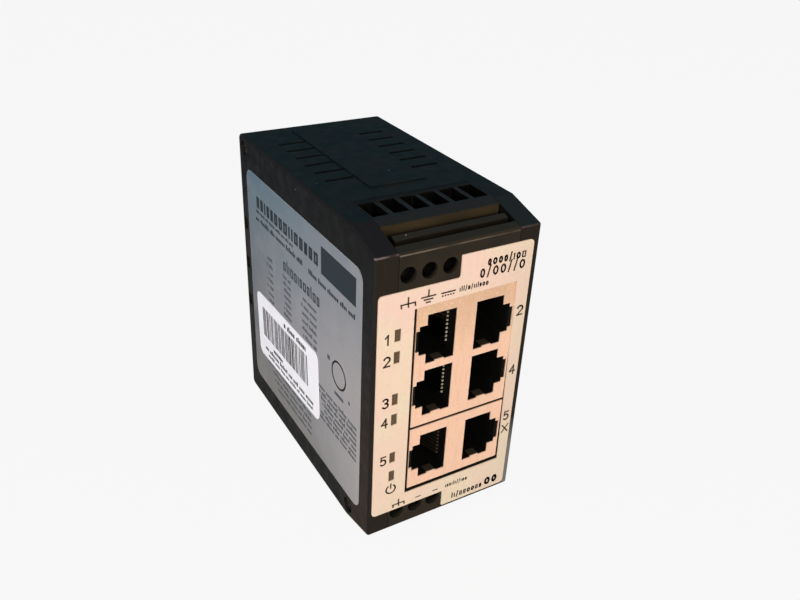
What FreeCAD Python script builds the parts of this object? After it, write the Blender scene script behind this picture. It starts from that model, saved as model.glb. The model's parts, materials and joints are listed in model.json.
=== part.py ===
import FreeCAD, Part
import math
import os

Vector = FreeCAD.Vector

# A five-port industrial network switch in a moulded box that clips to a 35 mm rail.
# +X is to the right of someone facing the sockets, +Y runs back to the rail, +Z is up.
# Depths are measured back from the front face, and the finished model is then moved
# so that the origin is at the middle of the underside.  Millimetres throughout.

# --- case -----------------------------------------------------------------------
case_width = 40.5
case_height = 78.0
case_depth = 73.8
wall = 2.0
cover_thickness = 2.2
front_round = 0.5
break_round = 1.6
rear_round = 1.4
rim_round = 0.6
top_slope_run = 10.6
top_slope_drop = 2.9
bottom_slope_run = 10.9
bottom_slope_rise = 2.4
running_gap = 0.15
seat_gap = 0.1
touch_gap = 0.05

# raised strip along the middle of the top
strip_width = 14.6
strip_height = 0.25
strip_start = 26.0
strip_inset = 4.5

# cooling slots beside the strip, through the top and the bottom
vent_count = 6
vent_pitch = 5.35
vent_start = 33.7
vent_slot = 1.1
vent_length = 7.2
vent_margin = 0.3

# side cover
lip_depth = 1.8
lip_thickness = 1.2
notch_count = 3
notch_pitch = 11.8
notch_height = 3.4
notch_depth = 3.2
notch_rim = 0.6
notch_tab = 1.2
notch_middle = 41.8

# two screws that hold the side cover, near two opposite corners
cover_screw_rear = 3.6
cover_screw_top = 3.0
cover_screw_front = 10.2
cover_screw_bottom = 3.6
cover_screw_radius = 1.25
cover_screw_gap = 0.4
cover_head_radius = 1.9
cover_head_height = 0.9
cover_head_sink = 0.8
cover_boss_radius = 2.3
cover_boss_gap = 0.3
cover_drive_width = 0.45
cover_drive_depth = 0.6
cover_drive_reach = 1.2

# --- terminals -------------------------------------------------------------------
pole_count = 6
live_poles = 3
pole_pitch = 5.0
pole_web = 1.2
terminal_end_wall = 0.3
terminal_depth = 20.8
terminal_root = 5.2
top_screw_drop = 8.1
bottom_screw_rise = 6.8
driver_radius = 1.9
driver_blind_depth = 3.0
wire_width = 3.8
wire_front = 11.8
wire_length = 7.3
wire_blind_depth = 4.5
groove_front = 2.1
groove_width = 1.6
rear_groove_width = 3.2
blade_thickness = 1.4
blade_cutback = 0.9
groove_web = 1.0

# clamp of each live pole: screw, cage and contact bar
thread_radius = 1.25
thread_gap = 0.04
head_start = 4.9
head_height = 1.9
head_gap = 0.12
head_slot_width = 0.7
head_slot_depth = 1.0
cage_clearance = 0.5
cage_travel = 2.5
cage_front = 2.0
cage_rear = 1.0
cage_height = 5.2
bar_thickness = 1.0
bar_width = 2.4
bar_gap = 0.4
wire_gap = 3.5
tail_width = 1.0
tail_rise = 0.5
tail_pass = 0.3

# --- sockets ---------------------------------------------------------------------
port_pitch = 13.97
socket_recess = 0.05
stack_left = -9.95
stack_width = 25.45
stack_depth = 25.4
stack_gap = 0.75
stack_bottom_room = 0.98
stack_top_room = 2.2
stack_top_rim = 0.7
shield_sheet = 0.3
socket_width = 12.25
socket_height = 7.3
socket_depth = 13.0
column_gap = 5.1
left_column_edge = 0.1
latch_width = 7.25
latch_height = 1.85
catch_width = 5.25
catch_height = 0.85
finger_width = 2.3
finger_rise = 0.35
finger_length = 2.4
contact_count = 8
contact_pitch = 1.016
contact_width = 0.45
contact_thickness = 0.35
contact_start = 2.8
contact_reach = 2.5
contact_tip = 9.8
window_gap = 0.3
window_left_gap = 0.7

# --- boards and what they carry ------------------------------------------------------
board_thickness = 1.6
board_front = 3.0
board_rear_room = 6.7
board_low = 4.4
board_inset = 0.6
post_size = 5.4
post_level = 7.0
post_clearance = 1.7
post_rear_room = 9.2
board_screw_radius = 1.25
board_screw_length = 6.0
board_head_radius = 2.2
board_head_height = 1.5
board_drive_reach = 1.35
terminal_board_gap = 3.4
terminal_board_margin = 2.75
terminal_board_height = 9.4

# status lights in pairs beside the sockets
lamp_inset = 5.75
lamp_width = 1.5
lamp_height = 3.0
lamp_pitch = 5.4
upper_lamp_rise = 0.6
middle_lamp_drop = 1.63
lower_lamp_rise = 0.07
lamp_gap = 0.06
pipe_length = 6.2
pipe_bridge = 1.4
led_length = 3.0
led_gap = 0.2
holder_length = 4.0
holder_wall = 0.8
led_seat = 1.5

chip_size = 14.0
chip_height = 1.4
chip_standoff = 0.1
chip_depth = 46.5
chip_drop = 0.5
chip_lead = 0.9
chip_lead_count = 16
chip_lead_pitch = 0.8
transformer_length = 12.7
transformer_width = 7.0
transformer_height = 5.6
block_round = 0.3
transformer_depth = 32.0
crystal_length = 11.0
crystal_width = 4.6
crystal_height = 3.6
crystal_round = 0.75
crystal_depth = 59.5
crystal_level = 27.0
capacitor_radius = 5.0
capacitor_height = 12.5
capacitor_round = 0.6
capacitor_groove = 0.35
capacitor_groove_height = 1.5
capacitor_front = 43.0
capacitor_pitch = 11.0
capacitor_level = 14.0
inductor_radius = 6.0
inductor_height = 6.0
inductor_flange = 1.0
inductor_winding = 4.6
inductor_depth = 57.0
inductor_rise = 12.5
rectifier_length = 8.4
rectifier_width = 6.4
rectifier_height = 3.2
rectifier_depth = 40.5
rectifier_drop = 11.0
fuse_radius = 2.0
fuse_length = 9.0
fuse_depth = 52.5
fuse_drop = 11.5
lead_radius = 0.35
lead_rise = 1.2

# --- labels -----------------------------------------------------------------------
label_thickness = 0.25
label_left_margin = 0.95
label_right_margin = 1.65
label_top_drop = 6.2
label_bottom_rise = 3.4
label_above_poles = 3.3
label_below_poles = 1.25
label_beside_poles = 2.55
label_round = 1.0
label_inner_round = 0.5
label_window_left = 0.8
label_window_bottom = 0.95
label_cover_right = 0.25
label_open_right = 0.5
label_cover_top_left = 0.7
label_cover_top_right = 0.2
side_label_front = 4.6
side_label_length = 64.7
side_label_low = 6.8
side_label_height = 63.4
side_label_round = 2.9
side_label_thickness = 0.2
sticker_length = 39.3
sticker_height = 19.6
sticker_depth = 45.8
sticker_level = 27.1
sticker_turn = 2.2
sticker_round = 2.1
sticker_thickness = 0.15

# --- rail foot and latch ------------------------------------------------------------
rail_height = 35.0
rail_level = 39.0
rail_slot = 2.0
rail_gap = 0.3
foot_half_width = 15.0
foot_low = 12.0
foot_high = 68.0
foot_thickness = 4.6
foot_floor = 1.1
foot_round = 1.5
hook_height = 4.0
hook_lip = 2.2
hook_thickness = 2.8
hook_chamfer = 0.9
latch_chamfer = 1.7
latch_half_width = 6.0
latch_flange = 1.6
latch_flange_thickness = 1.4
latch_gap = 0.2
latch_tab = 4.6
latch_top = 44.0
pull_slot_width = 6.0
pull_slot_height = 2.5
pull_slot_level = 7.0
window_half_width = 2.4
window_low = 26.0
window_high = 42.0
spring_post_height = 2.8
spring_radius = 1.05
spring_wire = 0.25
spring_turns = 7
foot_screw_side = 11.2
foot_screw_low = 17.5
foot_screw_high = 63.5
foot_screw_radius = 1.5
foot_head_radius = 2.6
foot_head_height = 1.8
foot_head_sink = 0.4
foot_screw_length = 7.4
foot_boss_radius = 3.0
foot_boss_length = 4.0
drive_width = 0.7
drive_depth = 0.9
drive_reach = 1.6

# --- worked out from the sizes above ---------------------------------------------------
left_side = -case_width / 2
right_side = case_width / 2
cover_inside = left_side + cover_thickness
label_left = left_side + label_left_margin
label_right = right_side - label_right_margin
label_top = case_height - label_top_drop
right_inside = right_side - wall
rear_inside = case_depth - wall
top_inside = case_height - wall
rail_face = case_depth + foot_thickness
foot_rear = rail_face + rail_slot + hook_thickness
overall_depth = label_thickness + foot_rear
to_origin = Vector(0, label_thickness - overall_depth / 2, 0)

top_screw_level = case_height - top_screw_drop
bottom_screw_level = bottom_screw_rise
label_step_top = top_screw_level - label_above_poles
label_step_bottom = bottom_screw_level + label_below_poles
pole_places = [(i - (pole_count - 1) / 2) * pole_pitch for i in range(pole_count)]
label_step = pole_places[live_poles - 1] + label_beside_poles
chamber_width = pole_pitch - pole_web
terminal_end = pole_places[-1] + chamber_width / 2 + terminal_end_wall
cage_width = chamber_width - 2 * seat_gap
cage_side = cage_width / 2 - thread_radius - touch_gap
head_end = head_start + head_height
cage_open = head_end + cage_clearance + cage_travel
bar_front = cage_open + cage_front + bar_gap
cage_inner_rear = bar_front + bar_thickness + wire_gap
cage_end = cage_inner_rear + cage_rear
cover_boss_length = -terminal_end - cover_boss_gap - cover_inside
cover_screw_length = -terminal_end - cover_screw_gap - left_side - cover_head_sink - cover_head_height
terminal_board_front = terminal_depth + terminal_board_gap
terminal_board_rear = terminal_board_front + board_thickness
terminal_board_left = pole_places[0] - terminal_board_margin
terminal_board_right = pole_places[live_poles - 1] + terminal_board_margin

# The two socket stacks share the room between the terminal housings.
stack_zone_low = bottom_screw_level + terminal_root
stack_zone_high = top_screw_level - terminal_root
lower_stack_low = stack_zone_low + stack_bottom_room
upper_stack_high = stack_zone_high - stack_top_room
stack_room = upper_stack_high - lower_stack_low - stack_gap - stack_top_rim
stack_margin = (stack_room - port_pitch) / 4
lower_stack_high = lower_stack_low + 2 * stack_margin
upper_stack_low = lower_stack_high + stack_gap
port_rows = [upper_stack_low + stack_margin + port_pitch, upper_stack_low + stack_margin,
             lower_stack_low + stack_margin]
stack_right = stack_left + stack_width
stack_rear = socket_recess + stack_depth
right_column_edge = left_column_edge + column_gap

lamp_middle = left_side + lamp_inset
lamp_levels = [port_rows[0] + upper_lamp_rise, port_rows[1] - middle_lamp_drop,
               port_rows[2] + lower_lamp_rise]

board_right = stack_left - seat_gap
board_left = board_right - board_thickness
board_rear = case_depth - board_rear_room
board_high = case_height - board_low
rear_zone_front = terminal_board_rear + seat_gap
post_front = terminal_board_rear + post_clearance + post_size / 2
post_rear = case_depth - post_rear_room
chip_level = case_height / 2 - chip_drop
inductor_level = chip_level + inductor_rise
rectifier_level = case_height - rectifier_drop
fuse_level = case_height - fuse_drop
capacitor_depths = [capacitor_front, capacitor_front + capacitor_pitch]
foot_screw_levels = [foot_screw_low, foot_screw_high]
latch_body = foot_thickness - foot_floor - latch_gap
hook_wall = rail_level + rail_height / 2 + rail_gap
latch_wall = rail_level - rail_height / 2 - rail_gap

same_place = 1e-4
parts = {}


def box(x0, x1, y0, y1, z0, z1):
    low = Vector(min(x0, x1), min(y0, y1), min(z0, z1))
    return Part.makeBox(abs(x1 - x0), abs(y1 - y0), abs(z1 - z0), low)


def rod_x(radius, x0, x1, y, z):
    return Part.makeCylinder(radius, abs(x1 - x0), Vector(min(x0, x1), y, z), Vector(1, 0, 0))


def rod_y(radius, y0, y1, x, z):
    return Part.makeCylinder(radius, abs(y1 - y0), Vector(x, min(y0, y1), z), Vector(0, 1, 0))


def rod_z(radius, z0, z1, x, y):
    return Part.makeCylinder(radius, abs(z1 - z0), Vector(x, y, min(z0, z1)), Vector(0, 0, 1))


def fuse(shapes):
    joined = shapes[0]
    if len(shapes) > 1:
        joined = joined.multiFuse(shapes[1:])
    return joined.removeSplitter()


def cut(shape, tools):
    for tool in tools:
        shape = shape.cut(tool)
    return shape


def rounded_wire(corners, place):
    # Each corner is (u, v, radius); place turns a flat point into a point in space.
    runs = []
    for i, (u, v, radius) in enumerate(corners):
        corner = Vector(u, v, 0)
        before = Vector(corners[i - 1][0], corners[i - 1][1], 0).sub(corner).normalize()
        following = corners[(i + 1) % len(corners)]
        after = Vector(following[0], following[1], 0).sub(corner).normalize()
        if radius <= 0:
            runs.append([corner])
            continue
        half_angle = before.getAngle(after) / 2
        back = radius / math.tan(half_angle)
        bisector = before.add(after).normalize()
        middle = corner + bisector * (radius / math.sin(half_angle) - radius)
        runs.append([corner + before * back, middle, corner + after * back])
    edges = []
    for i, run in enumerate(runs):
        if len(run) == 3:
            edges.append(Part.Arc(*[place(p.x, p.y) for p in run]).toShape())
        start = run[-1]
        end = runs[(i + 1) % len(runs)][0]
        if start.distanceToPoint(end) > same_place:
            edges.append(Part.makeLine(place(start.x, start.y), place(end.x, end.y)))
    return Part.Wire(edges)


def side_plate(corners, x0, x1):
    face = Part.Face(rounded_wire(corners, lambda y, z: Vector(x0, y, z)))
    return face.extrude(Vector(x1 - x0, 0, 0))


def front_plate(corners, y0, y1):
    face = Part.Face(rounded_wire(corners, lambda x, z: Vector(x, y0, z)))
    return face.extrude(Vector(0, y1 - y0, 0))


def rectangle(u0, u1, v0, v1, radius):
    return [(u0, v0, radius), (u1, v0, radius), (u1, v1, radius), (u0, v1, radius)]


def inset(corners, distance):
    # Moves each side of a convex outline inwards and keeps its corners rounded.
    middle = Vector(case_depth / 2, case_height / 2, 0)
    sides = []
    for i, (u, v, radius) in enumerate(corners):
        following = corners[(i + 1) % len(corners)]
        start = Vector(u, v, 0)
        along = Vector(following[0] - u, following[1] - v, 0).normalize()
        inward = Vector(-along.y, along.x, 0)
        if inward.dot(middle.sub(start)) < 0:
            inward = inward.negative()
        sides.append((start + inward * distance, along))
    moved = []
    for i, (u, v, radius) in enumerate(corners):
        first, first_along = sides[i - 1]
        second, second_along = sides[i]
        gap = second.sub(first)
        cross = first_along.x * second_along.y - first_along.y * second_along.x
        reach = (gap.x * second_along.y - gap.y * second_along.x) / cross
        point = first + first_along * reach
        moved.append((point.x, point.y, max(radius - distance, running_gap)))
    return moved


def edges_at_x(shape, x):
    return [e for e in shape.Edges if all(abs(p.X - x) < same_place for p in e.Vertexes)]


def edges_at_yz(shape, y, z):
    return [e for e in shape.Edges
            if all(abs(p.Y - y) < same_place and abs(p.Z - z) < same_place for p in e.Vertexes)]


case_outline = [
    (0, bottom_slope_rise, front_round),
    (0, case_height - top_slope_drop, front_round),
    (top_slope_run, case_height, break_round),
    (case_depth, case_height, rear_round),
    (case_depth, 0, rear_round),
    (bottom_slope_run, 0, break_round),
]


def cover_screw_places():
    upper = (case_depth - cover_screw_rear, case_height - cover_screw_top)
    lower = (cover_screw_front, cover_screw_bottom)
    return [upper, lower]


def notch_levels():
    return [notch_middle + (i - (notch_count - 1) / 2) * notch_pitch for i in range(notch_count)]


def post_places():
    low = post_level
    high = case_height - post_level
    return [(post_front, low), (post_front, high), (post_rear, low), (post_rear, high)]


def foot_screw_places():
    return [(side * foot_screw_side, z) for side in (-1, 1) for z in foot_screw_levels]


def vent_slots(z0, z1):
    slots = []
    inner = strip_width / 2 + vent_margin
    for i in range(vent_count):
        y = vent_start + i * vent_pitch
        for side in (-1, 1):
            ends = (side * inner, side * (inner + vent_length))
            slots.append(box(ends[0], ends[1], y - vent_slot / 2, y + vent_slot / 2, z0, z1))
    return slots


def terminal_inner_level(screw_level, up):
    return screw_level - up * terminal_root


def terminal_notch(screw_level, up):
    half = terminal_end + running_gap
    inner = terminal_inner_level(screw_level, up) - up * running_gap
    return box(-half, half, -wall, terminal_depth + running_gap, inner, inner + up * case_height)


def lamp_places():
    return [(pair, level + side * lamp_pitch / 2)
            for pair, level in enumerate(lamp_levels) for side in (1, -1)]


def housing():
    shell = side_plate(case_outline, cover_inside, right_side)
    shell = shell.makeFillet(rim_round, edges_at_x(shell, right_side))
    strip = box(-strip_width / 2, strip_width / 2, strip_start, case_depth - strip_inset,
                top_inside, case_height + strip_height)
    shell = fuse([shell, strip])
    hollow = side_plate(inset(case_outline, wall), cover_inside - wall, right_inside)
    shell = shell.cut(hollow)

    carriers = []
    for y, z in cover_screw_places():
        carriers.append(rod_x(cover_boss_radius, cover_inside, cover_inside + cover_boss_length, y, z))
    half = post_size / 2
    for y, z in post_places():
        outer = wall / 2 if z < case_height / 2 else case_height - wall / 2
        inner = z + half if z < case_height / 2 else z - half
        carriers.append(box(board_right, right_side - wall / 2, y - half, y + half, inner, outer))
    boss_end = rear_inside - foot_boss_length
    for x, z in foot_screw_places():
        carriers.append(rod_y(foot_boss_radius, boss_end, case_depth - wall / 2, x, z))
    for z in notch_levels():
        tab_end = case_depth - notch_rim - running_gap
        carriers.append(box(cover_inside - notch_tab, cover_inside + wall, rear_inside, tab_end,
                            z - notch_height / 2 + running_gap, z + notch_height / 2 - running_gap))
    inside = side_plate(case_outline, left_side, right_side)
    carriers = [carrier.common(inside) for carrier in carriers]
    shell = fuse([shell] + carriers)

    tools = [terminal_notch(top_screw_level, 1), terminal_notch(bottom_screw_level, -1)]
    tools.append(box(stack_left - window_left_gap, stack_right + window_gap, -wall, wall * 2,
                     stack_zone_low, upper_stack_high + window_gap))
    for pair, z in lamp_places():
        tools.append(box(lamp_middle - lamp_width / 2, lamp_middle + lamp_width / 2, -wall, wall * 2,
                         z - lamp_height / 2, z + lamp_height / 2))
    tools += vent_slots(-wall, wall * 2)
    tools += vent_slots(case_height - wall * 2, case_height + wall)
    bolt = cover_screw_radius + thread_gap
    for y, z in cover_screw_places():
        tools.append(rod_x(bolt, cover_inside - wall, cover_inside + cover_boss_length + wall, y, z))
    bolt = board_screw_radius + thread_gap
    for y, z in post_places():
        tools.append(rod_x(bolt, board_right - wall, board_right + board_screw_length, y, z))
    bolt = foot_screw_radius + thread_gap
    for x, z in foot_screw_places():
        tools.append(rod_y(bolt, boss_end - wall, case_depth + wall, x, z))
    return cut(shell, tools)


def side_label_corners(margin):
    return rectangle(side_label_front - margin, side_label_front + side_label_length + margin,
                     side_label_low - margin, side_label_low + side_label_height + margin,
                     side_label_round + margin)


def side_cover():
    plate = side_plate(case_outline, left_side, cover_inside)
    plate = plate.makeFillet(rim_round, edges_at_x(plate, left_side))
    outer = side_plate(inset(case_outline, wall + running_gap), cover_inside, cover_inside + lip_depth)
    inner = side_plate(inset(case_outline, wall + running_gap + lip_thickness),
                       cover_inside, cover_inside + lip_depth)
    lip = cut(outer, [inner, terminal_notch(top_screw_level, 1), terminal_notch(bottom_screw_level, -1)])
    cover = fuse([plate, lip])
    recess = left_side + side_label_thickness
    tools = [side_plate(side_label_corners(touch_gap), left_side - wall, recess)]
    head_depth = cover_head_sink + cover_head_height
    for y, z in cover_screw_places():
        tools.append(rod_x(cover_head_radius + head_gap, left_side - wall, left_side + head_depth, y, z))
        tools.append(rod_x(cover_screw_radius + running_gap, left_side, cover_inside, y, z))
        tools.append(rod_x(cover_boss_radius + running_gap, cover_inside, cover_inside + lip_depth, y, z))
    for z in notch_levels():
        tools.append(box(left_side - wall, cover_inside, case_depth - notch_depth, case_depth - notch_rim,
                         z - notch_height / 2, z + notch_height / 2))
    return cut(cover, tools)


def cross_drive_x(x0, x1, y, z, reach):
    half = cover_drive_width / 2
    return [box(x0, x1, y - reach, y + reach, z - half, z + half),
            box(x0, x1, y - half, y + half, z - reach, z + reach)]


def cover_screw(y, z):
    head_out = left_side + cover_head_sink
    head_in = head_out + cover_head_height
    head = rod_x(cover_head_radius, head_out, head_in, y, z)
    shank = rod_x(cover_screw_radius, head_in, head_in + cover_screw_length, y, z)
    screw = fuse([head, shank])
    return cut(screw, cross_drive_x(head_out, head_out + cover_drive_depth, y, z, cover_drive_reach))


def terminal_housing(screw_level, up):
    inner = terminal_inner_level(screw_level, up)
    body = side_plate(case_outline, -terminal_end, terminal_end)
    body = body.common(box(-case_width, case_width, 0, terminal_depth, inner, inner + up * case_height))
    outer = inner + up * case_height
    face_level = case_height if up > 0 else 0
    tools = []

    # Two marker grooves along the slope, with a narrow rib between them.
    floor = screw_level + up * (driver_radius + groove_web)
    blade_front = groove_front + groove_width
    blade_rear = blade_front + blade_thickness
    tools.append(box(-case_width, case_width, groove_front, blade_front, floor, outer))
    tools.append(box(-case_width, case_width, blade_rear, blade_rear + rear_groove_width, floor, outer))
    for side in (-1, 1):
        tools.append(box(side * (terminal_end - blade_cutback), side * case_width,
                         blade_front, blade_rear, floor, outer))

    ceiling = screw_level + up * (cage_height / 2 + running_gap)
    half = chamber_width / 2
    for i, x in enumerate(pole_places):
        wire_box = [x - wire_width / 2, x + wire_width / 2, wire_front, wire_front + wire_length]
        if i < live_poles:
            tools.append(rod_y(driver_radius, -wall, head_end + running_gap, x, screw_level))
            tools.append(box(x - half, x + half, head_end + running_gap / 2, cage_end + running_gap * 2,
                             inner - up * wall, ceiling))
            tools.append(box(*wire_box, ceiling - up * running_gap, outer))
            slot = tail_width / 2 + seat_gap
            tools.append(box(x - slot, x + slot, cage_end, terminal_depth + wall,
                             inner - up * wall, inner + up * (tail_rise + bar_thickness + seat_gap)))
        else:
            tools.append(rod_y(driver_radius, -wall, driver_blind_depth, x, screw_level))
            tools.append(box(*wire_box, face_level - up * wire_blind_depth, outer))
    return cut(body, tools)


def terminal_screw(x, level):
    head = rod_y(driver_radius - head_gap, head_start, head_end, x, level)
    shank = rod_y(thread_radius, head_end, bar_front - seat_gap, x, level)
    screw = fuse([head, shank])
    reach = driver_radius
    slot = box(x - reach, x + reach, head_start - wall, head_start + head_slot_depth,
               level - head_slot_width / 2, level + head_slot_width / 2)
    return screw.cut(slot)


def clamp_cage(x, level):
    half = cage_width / 2
    tall = cage_height / 2
    frame = box(x - half, x + half, cage_open, cage_end, level - tall, level + tall)
    window = box(x - half + cage_side, x + half - cage_side, cage_open + cage_front, cage_inner_rear,
                 level - cage_height, level + cage_height)
    thread = rod_y(thread_radius + thread_gap, cage_open - wall, cage_open + cage_front + wall, x, level)
    return cut(frame, [window, thread])


def contact_bar(x, level, up):
    tail_level = terminal_inner_level(level, up) + up * tail_rise
    blade = box(x - bar_width / 2, x + bar_width / 2, bar_front, bar_front + bar_thickness,
                tail_level, level + up * (cage_height / 2 - running_gap))
    tail = box(x - tail_width / 2, x + tail_width / 2, bar_front, terminal_board_rear + tail_pass,
               tail_level, tail_level + up * bar_thickness)
    return fuse([blade, tail])


def terminal_board(level, up):
    start = terminal_inner_level(level, up)
    plate = box(terminal_board_left, terminal_board_right, terminal_board_front, terminal_board_rear,
                start, start + up * terminal_board_height)
    front = terminal_board_front - wall
    rear = terminal_board_rear + wall
    holes = []
    for x in pole_places[:live_poles]:
        half = tail_width / 2 + touch_gap
        low = start + up * (tail_rise - touch_gap)
        high = start + up * (tail_rise + bar_thickness + touch_gap)
        holes.append(box(x - half, x + half, front, rear, low, high))
    return cut(plate, holes)


def socket_edge(column):
    # The contact side of each column, and the way from there to its latch side.
    return (left_column_edge, -1) if column == 0 else (right_column_edge, 1)


def socket_corners(column, level, in_shield):
    # The outline runs from the contact side to the latch side, wide part first.
    # Only the shield's sheet is cut out for the catch, and has the finger's root.
    start, side = socket_edge(column)
    first = start + side * socket_height
    second = first + side * latch_height
    third = second + side * catch_height
    outline = [(start, level + socket_width / 2), (first, level + socket_width / 2),
               (first, level + latch_width / 2), (second, level + latch_width / 2)]
    if in_shield:
        outline += [(second, level + catch_width / 2), (third, level + catch_width / 2),
                    (third, level - catch_width / 2), (second, level - catch_width / 2)]
    outline += [(second, level - latch_width / 2), (first, level - latch_width / 2),
                (first, level - socket_width / 2)]
    if in_shield:
        near = start + side * (socket_height / 2 - finger_width / 2)
        far = near + side * finger_width
        base = level - socket_width / 2
        outline += [(far, base), (far, base + finger_rise), (near, base + finger_rise), (near, base)]
    outline.append((start, level - socket_width / 2))
    return [(x, z, 0) for x, z in outline]


def socket_shield(low, high, rows):
    front = socket_recess
    shell = box(stack_left, stack_right, front, stack_rear, low, high)
    hollow = box(stack_left + shield_sheet, stack_right - shield_sheet, front + shield_sheet,
                 stack_rear - shield_sheet, low + shield_sheet, high - shield_sheet)
    tools = [hollow]
    fingers = []
    for level in rows:
        for column in (0, 1):
            corners = socket_corners(column, level, True)
            tools.append(front_plate(corners, front - wall, front + shield_sheet))
            start, side = socket_edge(column)
            near = start + side * (socket_height / 2 - finger_width / 2)
            top = level - socket_width / 2 + finger_rise
            fingers.append(box(near, near + side * finger_width, front, front + finger_length,
                               top - finger_rise / 2, top))
    return fuse([cut(shell, tools)] + fingers)


def socket_body(low, high, rows):
    gap = shield_sheet + touch_gap
    front = socket_recess + gap
    body = box(stack_left + gap, stack_right - gap, front, stack_rear - gap, low + gap, high - gap)
    tools = []
    for level in rows:
        for column in (0, 1):
            tools.append(front_plate(socket_corners(column, level, False), front - wall,
                                     socket_recess + socket_depth))
    return cut(body, tools)


def contact_strip(column, level):
    start, side = socket_edge(column)
    wall_side = start + side * seat_gap
    inner_side = wall_side + side * contact_thickness
    front = socket_recess + contact_start
    rear = socket_recess + socket_depth
    tip = socket_recess + contact_tip
    outline = [(wall_side, rear), (wall_side, front), (inner_side, front),
               (start + side * (contact_reach + contact_thickness), tip - contact_thickness),
               (start + side * contact_reach, tip),
               (inner_side, front + 2 * contact_thickness), (inner_side, rear)]
    points = [Vector(x, y, level - contact_width / 2) for x, y in outline]
    face = Part.Face(Part.makePolygon(points + [points[0]]))
    return face.extrude(Vector(0, 0, contact_width))


def socket_contacts(rows):
    strips = []
    for level in rows:
        for column in (0, 1):
            for i in range(contact_count):
                offset = (i - (contact_count - 1) / 2) * contact_pitch
                strips.append(contact_strip(column, level + offset))
    return Part.makeCompound(strips)


def main_board():
    low = terminal_inner_level(bottom_screw_level, -1) + board_inset
    high = terminal_inner_level(top_screw_level, 1) - board_inset
    front = box(board_left, board_right, board_front, rear_zone_front + wall, low, high)
    rear = box(board_left, board_right, rear_zone_front, board_rear, board_low, board_high)
    holes = [rod_x(board_screw_radius + running_gap, board_left - wall, board_right + wall, y, z)
             for y, z in post_places()]
    return cut(fuse([front, rear]), holes)


def board_screw(y, z):
    head_out = board_left - board_head_height
    head = rod_x(board_head_radius, head_out, board_left, y, z)
    shank = rod_x(board_screw_radius, board_left, board_right + board_screw_length - running_gap, y, z)
    screw = fuse([head, shank])
    return cut(screw, cross_drive_x(head_out, head_out + cover_drive_depth, y, z, board_drive_reach))


def light_pipe(level):
    half = lamp_width / 2 - lamp_gap
    tall = lamp_height / 2 - lamp_gap
    limbs = []
    for side in (1, -1):
        z = level + side * lamp_pitch / 2
        limbs.append(box(lamp_middle - half, lamp_middle + half, 0, pipe_length, z - tall, z + tall))
    bridge = box(lamp_middle - half, lamp_middle + half, pipe_length - 2 * pipe_bridge,
                 pipe_length - pipe_bridge, level - lamp_pitch / 2, level + lamp_pitch / 2)
    return fuse(limbs + [bridge])


def status_led(level):
    half = lamp_width / 2
    start = pipe_length + led_gap
    tall = lamp_height / 2 - holder_wall / 2
    return box(lamp_middle - half, lamp_middle + half, start, start + led_length,
               level - tall, level + tall)


def led_holder(level):
    front = pipe_length + led_gap + led_length - led_seat
    reach = lamp_pitch / 2 + lamp_height / 2
    block = box(lamp_middle - lamp_width / 2 - holder_wall, board_left - touch_gap,
                front, front + holder_length, level - reach, level + reach)
    pockets = []
    for side in (1, -1):
        z = level + side * lamp_pitch / 2
        tall = lamp_height / 2 - holder_wall / 2 + touch_gap
        half = lamp_width / 2 + touch_gap
        pockets.append(box(lamp_middle - half, lamp_middle + half, front - wall,
                           front + led_seat + touch_gap, z - tall, z + tall))
    return cut(block, pockets)


def switch_chip():
    half = chip_size / 2
    seat = board_right + touch_gap
    body = box(seat + chip_standoff, seat + chip_standoff + chip_height,
               chip_depth - half, chip_depth + half, chip_level - half, chip_level + half)
    leads = []
    for i in range(chip_lead_count):
        offset = (i - (chip_lead_count - 1) / 2) * chip_lead_pitch
        width = chip_lead_pitch / 4
        for side in (-1, 1):
            edge = side * half
            out = side * (half + chip_lead)
            leads.append(box(seat, seat + chip_height / 2, chip_depth + edge, chip_depth + out,
                             chip_level + offset - width, chip_level + offset + width))
            leads.append(box(seat, seat + chip_height / 2, chip_depth + offset - width,
                             chip_depth + offset + width, chip_level + edge, chip_level + out))
    return fuse([body] + leads)


def block_part(depth, level, length, width, height, rounding):
    seat = board_right + touch_gap
    block = box(seat, seat + height, depth - width / 2, depth + width / 2,
                level - length / 2, level + length / 2)
    return block.makeFillet(rounding, edges_at_x(block, seat + height))


def bulk_capacitor(depth):
    seat = board_right + touch_gap
    can = rod_x(capacitor_radius, seat, seat + capacitor_height, depth, capacitor_level)
    can = can.makeFillet(capacitor_round, edges_at_x(can, seat + capacitor_height))
    ring = Part.makeTorus(capacitor_radius, capacitor_groove,
                          Vector(seat + capacitor_groove_height, depth, capacitor_level), Vector(1, 0, 0))
    return can.cut(ring)


def power_inductor():
    seat = board_right + touch_gap
    low = rod_x(inductor_radius, seat, seat + inductor_flange, inductor_depth, inductor_level)
    high = rod_x(inductor_radius, seat + inductor_height - inductor_flange, seat + inductor_height,
                 inductor_depth, inductor_level)
    core = rod_x(inductor_winding, seat, seat + inductor_height,
                 inductor_depth, inductor_level)
    return fuse([low, core, high])


def input_fuse():
    seat = board_right + touch_gap
    axis = seat + lead_rise + fuse_radius
    tube = rod_z(fuse_radius, fuse_level - fuse_length / 2, fuse_level + fuse_length / 2, axis, fuse_depth)
    reach = fuse_length / 2 + 2 * lead_radius
    wires = []
    for side in (-1, 1):
        end = fuse_level + side * fuse_length / 2
        tip = fuse_level + side * reach
        wires.append(box(axis - lead_radius, axis + lead_radius, fuse_depth - lead_radius,
                         fuse_depth + lead_radius, end, tip))
        wires.append(box(seat, axis + lead_radius, fuse_depth - lead_radius, fuse_depth + lead_radius,
                         tip - side * 2 * lead_radius, tip))
    return fuse([tube] + wires)


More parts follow.
